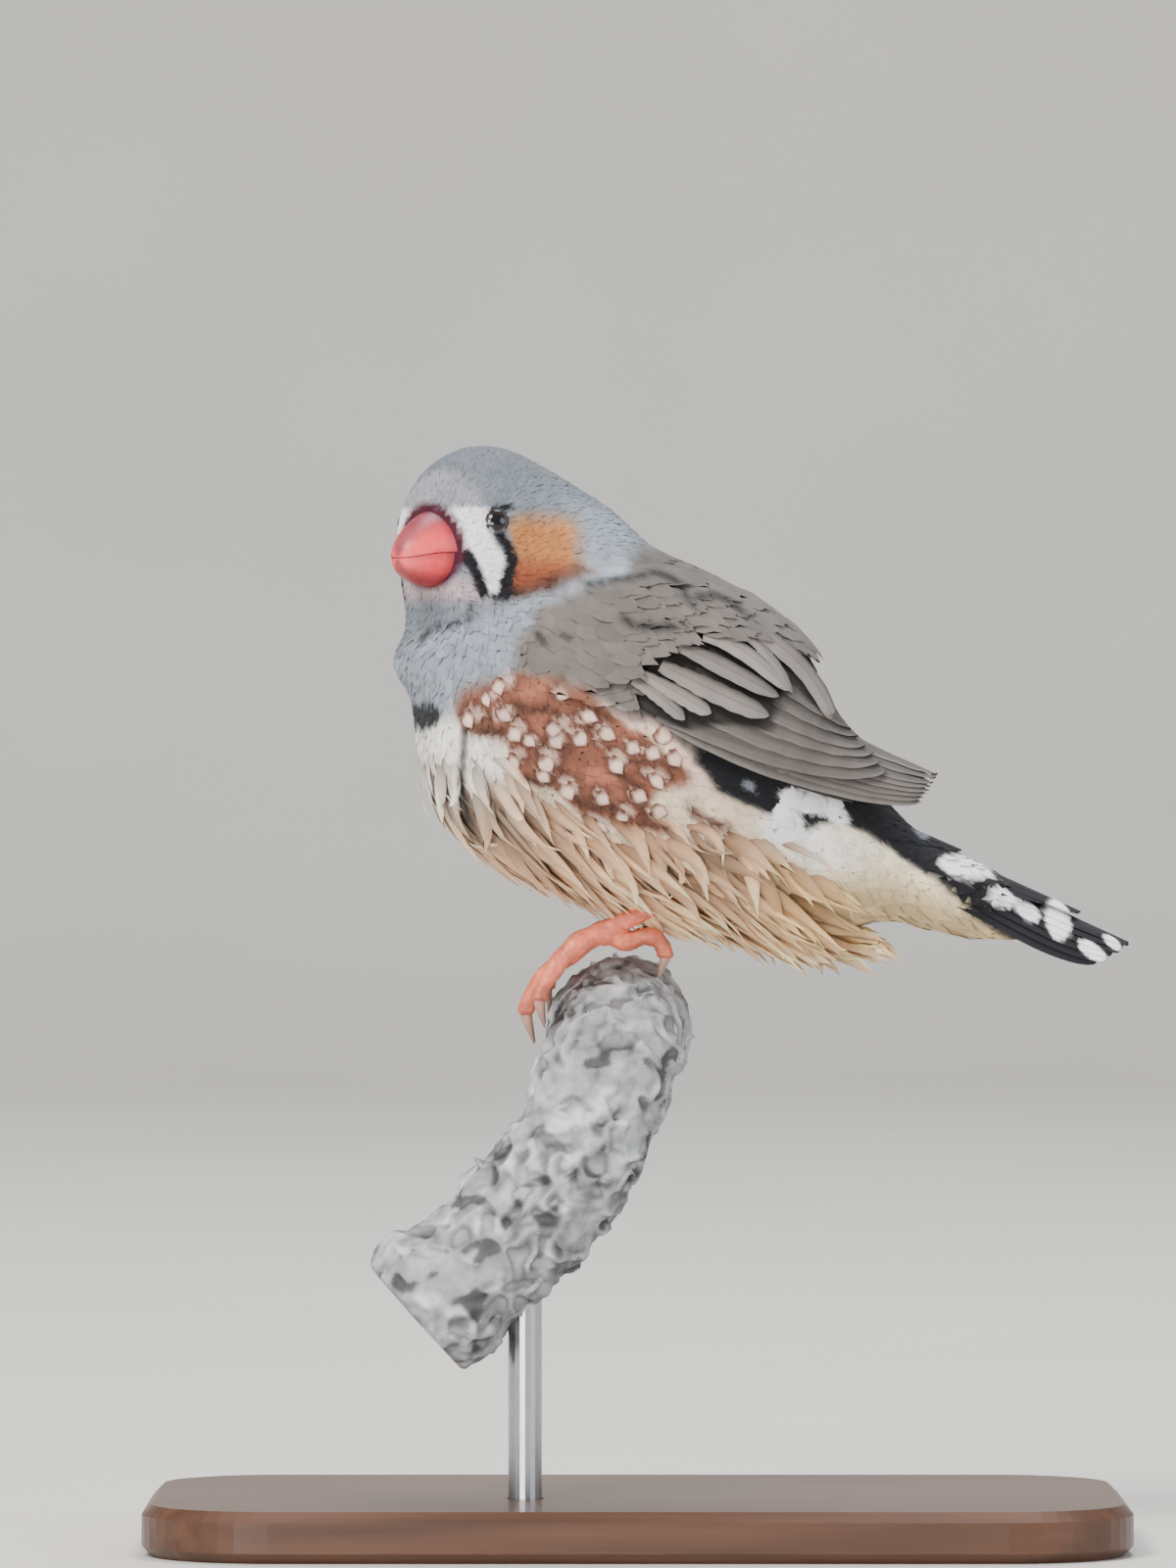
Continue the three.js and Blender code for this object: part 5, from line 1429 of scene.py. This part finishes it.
class FINCH_OT_locks(Operator):
    """Loose pointed locks of the lower breast, flanks and belly"""
    bl_idname = "finch.locks"
    bl_label = "Locks"

    def execute(self, context):
        sizes, colours = settings_of(context)
        draw = np.random.default_rng(47)
        points, uv = skin_samples(60000, draw)
        top = lock_line(points[:, 0])
        points, uv, top = picked((points[:, 2] < top + 1.2) & (points[:, 0] < 33), points, uv, top)
        sparser = 1 - ramp(points[:, 0] - 14, 5)
        keep = (points[:, 0] < 19) & (draw.random(len(points)) < sparser)
        points, uv, top = picked(keep, points, uv, top)
        kept = thinned(points, np.full(len(points), sizes.lock_spacing / MM), draw)
        points, uv, top = picked(kept, points, uv, top)
        x, count = points[:, 0], len(points)
        vent = ramp(x - 12, 8)
        inner = ramp(top - points[:, 2], 4)
        length = (7.6 + 5.0 * inner) * (1 - 0.3 * vent) * draw.uniform(0.7, 1.3, count)
        slim = draw.random(count) < 0.3
        width = np.where(slim, 0.9, 2.0 + 0.4 * inner) * draw.uniform(0.75, 1.25, count)
        rise = (0.9 + 1.0 * inner)[:, None] * (1 - 0.5 * vent)[:, None]
        levels = LOCK_LEVELS * rise
        levels[:, 0] -= 0.1
        offset = points - SPINE_AT
        along = offset @ ALONG
        under = -normalised(offset - along[:, None] * ALONG) @ OVER
        loose = ramp(under - 0.1, 0.35) * ramp(along + 19, 8)
        loose = loose * (draw.random(count) < 0.85) * draw.uniform(0.5, 1.3, count)
        droop = ramp(x - 1, 8) * ramp(19 - x, 4)
        grids = lay_vanes(points, length + (1.8 + 2.0 * droop) * loose, width, levels, 0.42, draw, fall=0.8,
                          stray=0.22, cling=np.where(loose > 0.4, 0.3, 0.65), hang=0.15 + (0.5 + 0.3 * droop) * loose,
                          outline=pointed_vane, ragged=0.04, rising=0.55, curl=0.5)
        share, u = vane_spread(grids)
        # Painted shade: each lock darker towards its root and its edges
        depth = (0.34 + 0.78 * share ** 0.55) * (1 - 0.12 * u ** 2)
        tone = 1 + 0.10 * draw.standard_normal((count, 1, 1))
        shades = plumage(grids, colours) * (depth * tone)[..., None]
        # Painted light and shade: lighter tips and browner roots, less so on the white breast
        light_and_shade_tint = LOCK_TIP_LIGHT * LOCK_ROOT_SHADE ** (1 - share)[..., None]
        paler = ramp(grids[..., 2:] - 79, 8) * ramp(-8 - grids[..., :1], 8)
        light_and_shade_tint = light_and_shade_tint + (1.12 - light_and_shade_tint) * 0.7 * paler
        locks = vane_piece("belly_locks", grids, shades * light_and_shade_tint, uv, plumage_material("Plumage"))
        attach(locks, "root")
        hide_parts("torso")
        return {"FINISHED"}


class FINCH_OT_wings(Operator):
    """Folded wings: a bed painted dark as shade, with flight feathers and coverts over it"""
    bl_idname = "finch.wings"
    bl_label = "Wings"

    def execute(self, context):
        _, colours = settings_of(context)
        material = plumage_material("Wing feathers", roughness=0.7, barbs=70.0, depth=0.3, sheen=0.03, slant=0.28,
                                    shaft=0.7)
        down, u = np.meshgrid(np.linspace(0, 1, 30), np.linspace(0, 1, 16), indexing="ij")
        along = between((-5, WING_CORE_BACK), down)
        for side, word in ((-1, "left"), (1, "right")):
            angle = wing_angle(side, along, between((0.03, 0.97), u))
            rise = wing_rise(along, angle)
            top = on_body(along, angle, side, 0.35 + rise + 0.45 * np.clip(down / 0.25, 0, 1))
            bed = closed_plate(f"wing_bed_{word}", top, on_body(along, angle, side, 0.05 + rise), material)
            count = len(bed.data.vertices)
            # The bed's colour is painted shade, seen in the gaps between the feathers
            paint(bed, "Plumage", np.tile(colours.wing_shade_tone * 0.5, (count, 1)))
            lay_uv(bed, "Feather", np.tile([0.3, 0.3], (count, 1)))
            lay_uv(bed, "OFBake", skin_spots(places(bed)))
            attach(bed, "root")
            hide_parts(f"wing_{word}")
            draw = np.random.default_rng(31)
            vanes = []
            for row in WING_ROWS:
                for share in np.linspace(0, 1, row.get("count", 1)):
                    grid = wing_vane(side, row, share, draw)
                    shades = wing_shades(row, grid, colours, draw)
                    vanes.append((grid[:, ::-side], shades[:, ::-side]))
            wing = long_vanes(f"wing_{word}_feathers", vanes, material)
            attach(wing, "root")
            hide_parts(f"wing_{word}")
        return {"FINISHED"}


class FINCH_OT_scapulars(Operator):
    """Soft grey-brown feathers from the nape over the shoulders and the front of the wings"""
    bl_idname = "finch.scapulars"
    bl_label = "Scapulars"

    def execute(self, context):
        _, colours = settings_of(context)
        draw = np.random.default_rng(17)
        points, uv = skin_samples(60000, draw)
        offset = points - SPINE_AT
        along = offset @ ALONG
        angle = np.arctan2(np.abs(offset[:, 1]), offset @ OVER)
        high, low = (wing_angle(1, along, np.full(len(along), across)) for across in (0.0, 1.0))
        across = (angle - high) / (low - high)
        mass, front = (outline_distance(points[:, 0], points[:, 2], outline) < 0
                       for outline in (SCAPULAR_ROOTS, SHOULDER_ROOTS))
        back = (across > -0.6) & (across < 0.1) & (along > -19) & (along < 7)
        keep = (mass | front | back) & (head_share(points) < 0.5)
        points, uv, along, across, front = picked(keep, points, uv, along, across, front & ~mass)
        kept = thinned(points, np.full(len(points), 1.15), draw)
        points, uv, along, across, front = picked(kept, points, uv, along, across, front)
        over = ramp(across + 0.4, 0.4) * ramp(points[:, 0] + 13, 10)
        over = over * over * (3 - 2 * over) * np.where(front, 0.5, 1)
        levels = between(SCAPULAR_LEVELS, over[:, None])
        length = np.where(front, 3.8, 5.2) + 1.0 * ramp(along + 6, 10)
        grids = lay_vanes(points, length, np.full(len(points), 2.7), levels, 0.15, draw, stray=0.06, columns=5,
                          rising=0.05)
        tone = 1 + 0.03 * draw.standard_normal((len(grids), 1, 1, 1))
        shades = plumage(grids, colours)
        edge = np.abs(vane_spread(grids)[1]) ** 3
        lay(shades, colours.fringe, 0.18 * edge * over[:, None, None])
        coat = vane_piece("scapulars", grids, shades * tone, uv, plumage_material("Plumage"))
        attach(coat, "root")
        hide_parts("wing_left", "wing_right", "torso")
        return {"FINISHED"}


class FINCH_OT_tail(Operator):
    """Tail feathers and the black coverts over them, with their white bars"""
    bl_idname = "finch.tail"
    bl_label = "Tail"

    def execute(self, context):
        _, colours = settings_of(context)
        draw = np.random.default_rng(23)
        vanes = []
        for tier in TAIL_TIERS:
            for order, side in itertools.product(range(len(tier["sides"])), (-1, 1)):
                grid = tail_vane(tier, order, side, draw)
                shades = np.tile(colours.black, (*grid.shape[:2], 1))
                tail_marks(shades, grid, colours, 0.35 * lumps(grid, 1.3, 3) + 0.3 * lumps(grid, 0.6, 4))
                vanes.append((grid, shades))
        material = plumage_material("Tail feathers", roughness=0.6, barbs=60.0, depth=0.35, sheen=0.01)
        tail = long_vanes("tail_feathers", vanes, material)
        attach(tail, "root")
        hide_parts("tail")
        return {"FINISHED"}


class FINCH_OT_bill(Operator):
    """Both halves of the bill, with culmen, cutting edges and nostrils"""
    bl_idname = "finch.bill"
    bl_label = "Bill"

    def execute(self, context):
        _, colours = settings_of(context)
        material = painted_material("Bill", 0.42, 1500.0, 0.06, 0.12, 0.4, 0.06)
        for word in ("upper", "lower"):
            local = bill_grid(word == "upper")
            rings, around = local.shape[:2]
            if word == "upper":
                for hand in (1, -1):
                    pit = np.linalg.norm(local - np.array([9, hand * 2.7, 1.7]), axis=-1)
                    local -= np.array([0, hand * 0.35, 0.15]) * np.clip(1 - pit / 0.8, 0, 1)[..., None]
            local = np.concatenate([local.reshape(-1, 3), [local[0].mean(axis=0), local[-1].mean(axis=0)]])
            bill = closed_piece(f"bill_{word}_half", HEAD_AT + local @ HEAD_AXES, ring_faces(rings, around), material)
            smooth(bill, 50)
            forward, up = local[:, 0], local[:, 2]
            rise = np.tile(np.sin(np.linspace(0, 2 * math.pi, around, endpoint=False)), rings)
            rise = np.concatenate([rise, [0, 0]])
            base = ramp(11 - forward, 1.3)
            shades = np.tile(colours.bill, (len(local), 1))
            if word == "upper":
                # Painted shade along the culmen ridge, and the dark bare skin at the base
                culmen = ramp(rise - 0.55, 0.4) * 0.62 + 0.6 * base * np.clip(0.6 + rise, 0, 1)
                lay(shades, colours.bill_edge, np.clip(culmen, 0, 0.85))
            else:
                # Painted shade on the underside of the lower half, and the dark bare skin at the base
                under = 0.75 * ramp(-0.55 - rise, 0.35) + 0.4 * base
                lay(shades, BILL_UNDER_SHADE, np.clip(under, 0, 0.8))
            edge = np.clip(1 - np.abs(up + 1.8 + 0.105 * (forward - BILL_BASE)) / 0.5, 0, 1)
            lay(shades, colours.bill_edge, 0.25 * edge)
            # Painted highlight on the tip
            lay(shades, BILL_TIP_HIGHLIGHT, 0.18 * ramp(forward - 12.6, 2))
            paint(bill, "Paint", shades * (1 + 0.06 * lumps(local, 1.4, 8))[:, None])
            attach(bill, "root")
            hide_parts(f"bill_{word}")
        return {"FINISHED"}


class FINCH_OT_eyes(Operator):
    """Eyeballs with pupil and iris, and the lids round them"""
    bl_idname = "finch.eyes"
    bl_label = "Eyes"

    def execute(self, context):
        sizes, _ = settings_of(context)
        radius, opening = sizes.eye_radius / MM, sizes.lid_radius / MM
        wet = painted_material("Eye", 0.08, 2500.0, 0.12, 0.0, 0.25, 0.35)
        dry = painted_material("Lids", 0.6, 2200.0, 0.15, 0.5, coat=0.0)
        angle = np.linspace(0, 2 * math.pi, LID_STEPS, endpoint=False)
        around = np.linspace(0, 2 * math.pi, LID_SEGMENTS, endpoint=False)
        for side, word in ((-1, "right"), (1, "left")):
            middle, outward = EYES[side]
            eye = ball(middle, Vector(outward).to_track_quat("Z", "Y").to_euler(), 48, 48, sizes.eye_radius)
            eye.name = eye.data.name = f"eyeball_{word}"
            rest_at_origin(eye)
            bpy.ops.object.shade_smooth()
            eye.data.materials.append(wet)
            points = places(eye)
            lean = np.degrees(np.arccos(np.clip(normalised(points - middle) @ outward, -1, 1)))
            shades = np.tile(PUPIL, (len(points), 1))
            lay(shades, IRIS, 0.7 * ramp(lean - 24, 3) * ramp(50 - lean, 6))
            paint(eye, "Paint", shades)
            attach(eye, "root")
            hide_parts(f"eye_{word}")
            across, up = eye_axes(outward)
            aside, above = 0.84 * opening * np.cos(angle)[:, None], 1.16 * opening * np.sin(angle)[:, None]
            steep = np.sqrt(radius ** 2 - aside ** 2 - above ** 2)
            path = across * aside + up * above + outward * steep
            radial = normalised(path - outward * steep * 0.9)[:, None]
            thick = 0.15 + 0.015 * np.sin(angle * 18)[:, None]
            ring = ((middle + path)[:, None] + radial * (1.5 * thick * np.cos(around))[..., None]
                    + outward * (thick * np.sin(around))[..., None])
            faces = []
            for i, j in itertools.product(range(LID_STEPS), range(LID_SEGMENTS)):
                row, after = i * LID_SEGMENTS, (i + 1) % LID_STEPS * LID_SEGMENTS
                k = (j + 1) % LID_SEGMENTS
                faces.append([row + j, after + j, after + k, row + k])
            lid = closed_piece(f"lids_{word}", ring.reshape(-1, 3), faces, dry)
            count = LID_STEPS * LID_SEGMENTS
            paint(lid, "Paint", np.array(LID_GREY) * (1 + 0.15 * np.sin(np.arange(count) * 1.7))[:, None])
            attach(lid, "root")
            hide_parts("head")
        return {"FINISHED"}


class FINCH_OT_feet(Operator):
    """Legs, scaled toes gripping the branch, and their claws"""
    bl_idname = "finch.feet"
    bl_label = "Feet"

    def execute(self, context):
        _, colours = settings_of(context)
        skin = painted_material("Foot skin", 0.45, 1800.0, 0.10, 0.35, coat=0.08)
        horn = painted_material("Claws", 0.28, 1500.0, 0.10, 0.1, coat=0.3)
        for side, word in ((-1, "left"), (1, "right")):
            parts, claws, claw_tips = [], [], []
            for toe, spots in TOES.items():
                base, path = toe_path(side, spots)
                cut = round((len(path) - 1) * CLAW_FROM)
                share = np.linspace(0, 1, cut + 1)
                scutes = 0.09 * np.cos(share * 19) + 0.05 * (1 - (share * 17) % 1)
                radii = TOE_R * (1.04 - 0.22 * share + scutes)
                radii[-2:] *= (0.85, 0.55)
                parts.append(tube_piece(f"toe_{toe}", path[:cut + 1], radii[:, None], 18, skin))
                rest = path[cut - 2:]
                radii = CLAW_R * (1 - 0.9 * np.linspace(0, 1, len(rest)) ** 1.2)
                claws.append(tube_piece(f"claw_{toe}", rest, radii[:, None], 14, horn))
                claw_tips.append(path[-1])
            top = np.array([TARSUS_TOP[0], side * FOOT_SIDE, TARSUS_TOP[1]])
            shank = curve_through([base, (base + top) / 2, top + (top - base) * 0.25], 50)
            share = np.linspace(0, 1, 51)
            radii = 1.02 * (1 + 0.16 * share + 0.04 * (1 - (share * 13) % 1)) + 0.2 * np.exp(-(share / 0.06) ** 2)
            parts.append(tube_piece("shank", shank, radii[:, None], 18, skin))
            parts.append(ball(base + np.array([0.3, 0, -0.3]), (0, 0, 0), 24, 16, 1.35 * MM))
            rest_at_origin(parts[-1])
            foot = joined(parts, f"foot_skin_{word}")
            remeshed(foot, 0.15)
            bpy.ops.object.shade_smooth()
            points = places(foot)
            tone = 1 + 0.12 * lumps(points, 1.1, 9) + 0.08 * lumps(points, 0.4, 10)
            tone *= 1 - 0.12 * np.clip(5.5 - nearest_of(points, claw_tips), 0, 1)
            paint(foot, "Paint", colours.foot * tone[:, None])
            foot.data.materials.clear()
            foot.data.materials.append(skin)
            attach(foot, "root")
            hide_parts(f"foot_{word}", f"leg_{word}")
            nails = joined(claws, f"claws_{word}")
            near_tip = nearest_of(places(nails), claw_tips)
            paint(nails, "Paint", colours.claw * (0.72 + 0.28 * np.clip(near_tip / 3, 0, 1))[:, None])
            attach(nails, "root")
            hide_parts(*(f"claw_{word}_{number}" for number in (1, 2, 3, 4)))
        return {"FINISHED"}


class FINCH_OT_perch(Operator):
    """The cut branch, with crusted bark and sawn ends"""
    bl_idname = "finch.perch"
    bl_label = "Perch"

    def execute(self, context):
        _, colours = settings_of(context)
        around = 160
        share = np.linspace(0, 1, BRANCH_STEPS + 1)[:, None]
        radii = branch_radius(share, np.linspace(0, 2 * math.pi, around, endpoint=False)[None])
        grain = bark_grain(tube_points(BRANCH_LINE, radii, around))
        rough = 0.55 * bark_ridges(grain) + 0.22 * lumps(grain, 1.1, 22) + 0.3 * lumps(grain, 3.2, 23)
        rough = rough + 1.5 * np.clip(lumps(grain, 1.7, 28) - 0.38, 0, 1)
        pits = np.clip(lumps(grain, 1.9, 24) - 0.38, 0, 1)
        worn = 1 - 0.0625 * (1 - np.minimum(1, np.minimum(share, 1 - share) / 0.006))
        radii = (radii + rough - 1.1 * pits) * worn
        inward = np.linspace(0.95, 0.08, 14)
        sawn = 0.01 * np.arange(1, len(inward) + 1)[:, None]
        front, rear = (BRANCH_LINE[end] + normalised(BRANCH_LINE[end] - BRANCH_LINE[before]) * sawn
                       for end, before in ((-1, -2), (0, 1)))
        line = np.concatenate([rear[::-1], BRANCH_LINE, front])
        radii = np.concatenate([radii[:1] * inward[::-1, None], radii, radii[-1:] * inward[:, None]])
        material = painted_material("Bark", 0.88, 380.0, 0.35, 0.9, 0.2, detail=8.0, bump=0.5)
        branch = tube_piece("branch_bark", line, radii, around, material)
        heart = np.concatenate([inward[::-1], np.ones(BRANCH_STEPS + 1), inward])
        heart = np.concatenate([np.repeat(heart, around), [0, 0]])
        grain = bark_grain(places(branch))
        crust = 1 - ramp(lumps(grain, 1.9, 24) - 0.30, 0.16)
        crust = crust - 0.35 * np.clip(lumps(grain, 4.5, 25) - 0.1, 0, 1)
        crust = np.clip(crust - 0.25 * np.clip(lumps(grain, 0.7, 26), 0, 1), 0, 1)
        pale = np.clip(2.5 * lumps(grain, 2.2, 27) - 0.9, 0, 1)
        trough = np.clip(1 - 5 * np.abs(np.abs(lumps(grain, 2.7, 21)) - 0.36), 0, 1)
        shades = np.tile(colours.bark_pit, (len(grain), 1))
        lay(shades, colours.bark, crust)
        # Painted shade in the troughs beside the crests
        shades *= (1 - 0.3 * trough * np.clip(1.4 * lumps(grain, 5, 29) + 0.5, 0, 1))[:, None]
        # Pale lichen in blotches, and a painted highlight on the crests
        lay(shades, LICHEN_AND_RIDGE_HIGHLIGHT, np.clip(0.85 * pale + 0.45 * bark_ridges(grain), 0, 0.9))
        rings = 1 + 0.16 * np.sin(52 * heart + 2.5 * lumps(grain, 4, 31)) + 0.06 * lumps(grain, 0.6, 32)
        lay(shades, np.array(TIMBER) * rings[:, None], ramp(0.95 - heart, 0.05))
        paint(branch, "Paint", shades)
        smooth(branch, 60)
        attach(branch, "root")
        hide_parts("perch_branch")
        return {"FINISHED"}


class FINCH_OT_stand(Operator):
    """Wood and steel finishes for the base and rod"""
    bl_idname = "finch.stand"
    bl_label = "Stand"

    def execute(self, context):
        _, colours = settings_of(context)
        wood, tree, shader = node_material("Stand wood", 0.42, 0.4, Coat_Weight=0.15)
        where = add_node(tree, "TexCoord")
        stretch = add_node(tree, "Mapping", Vector=where.outputs["Object"], Scale=(0.06, 1, 1))
        grain = add_node(tree, "TexNoise", Vector=stretch.outputs["Vector"], Scale=420.0, Detail=6.0).outputs["Fac"]
        tones = add_node(tree, "MapRange", Value=grain, From_Min=0.3, From_Max=0.7, To_Min=0.62, To_Max=1.25)
        put(shader.inputs["Base Color"], toned(tree, linear(colours.wood), tones.outputs["Result"]))
        bump_into(tree, shader, grain, 0.25, 0.1)
        steel = mottled_material("Stand steel", 0.28, 0.5, colours.steel, 800.0, 0.05, Metallic=1.0)
        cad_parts["stand_base"].material_slots[0].material = wood
        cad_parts["stand_rod"].material_slots[0].material = steel
        return {"FINISHED"}


class FINCH_OT_stage(Operator):
    """Pale floor and backdrop, soft studio lights and the camera"""
    bl_idname = "finch.stage"
    bl_label = "Stage"

    def execute(self, context):
        sizes, colours = settings_of(context)
        material = mottled_material("Studio floor", 0.75, 0.3, colours.floor, 6.0, 0.03)
        points = np.array([(x, y, z) for y, z in SWEEP for x in (-4, 4)]) / MM
        faces = [[2 * i, 2 * i + 1, 2 * i + 3, 2 * i + 2] for i in range(len(SWEEP) - 1)]
        floor = mesh_piece("floor", points, faces, material)

        world = context.scene.world or bpy.data.worlds.new("Studio")
        context.scene.world = world
        world.use_nodes = True
        backdrop = world.node_tree.nodes["Background"].inputs
        put(backdrop["Color"], (0.82, 0.9, 1, 1))
        put(backdrop["Strength"], 0.45)
        for name, at, size, power, tint, target in LIGHTS:
            aim = Vector(target) - Vector(at)
            bpy.ops.object.light_add(type="AREA", location=at, rotation=aim.to_track_quat("-Z", "Y").to_euler())
            light = context.object
            light.name = name
            light.data.shape = "DISK"
            light.data.size = size
            light.data.energy = power
            light.data.color = tint
        bpy.ops.object.camera_add(location=(CAMERA_X, -sizes.camera_distance, CAMERA_Z),
                                  rotation=(math.pi / 2, 0, 0))
        camera = context.object
        camera.name = "camera"
        camera.data.sensor_fit = "VERTICAL"
        camera.data.sensor_height = SENSOR
        camera.data.lens = SENSOR * sizes.camera_distance / sizes.frame_height
        camera.data.clip_start = 0.01
        camera.data.dof.use_dof = False
        context.scene.camera = camera
        return {"FINISHED"}


class FINCH_PT_panel(Panel):
    """Buttons and settings of the finch"""
    bl_label = "Zebra finch"
    bl_idname = "FINCH_PT_panel"
    bl_space_type = "VIEW_3D"
    bl_region_type = "UI"
    bl_category = "Finch"

    def draw(self, context):
        layout = self.layout
        for group in (context.scene.finch_sizes, context.scene.finch_colours):
            box = layout.box()
            for setting in group.__annotations__:
                box.prop(group, setting)
        for operator in OPERATORS:
            layout.operator(operator.bl_idname)


OPERATORS = (FINCH_OT_skin, FINCH_OT_coat, FINCH_OT_drops, FINCH_OT_locks, FINCH_OT_wings, FINCH_OT_scapulars,
             FINCH_OT_tail, FINCH_OT_bill, FINCH_OT_eyes, FINCH_OT_feet, FINCH_OT_perch, FINCH_OT_stand,
             FINCH_OT_stage)
CLASSES = (FinchSizes, FinchColours, *OPERATORS, FINCH_PT_panel)


def register():
    for made in CLASSES:
        bpy.utils.register_class(made)
    bpy.types.Scene.finch_sizes = PointerProperty(type=FinchSizes)
    bpy.types.Scene.finch_colours = PointerProperty(type=FinchColours)


def unregister():
    del bpy.types.Scene.finch_colours
    del bpy.types.Scene.finch_sizes
    for made in reversed(CLASSES):
        bpy.utils.unregister_class(made)


def main():
    register()
    for operator in OPERATORS:
        group, name = operator.bl_idname.split(".")
        getattr(getattr(bpy.ops, group), name)()


if __name__ == "__main__":
    main()
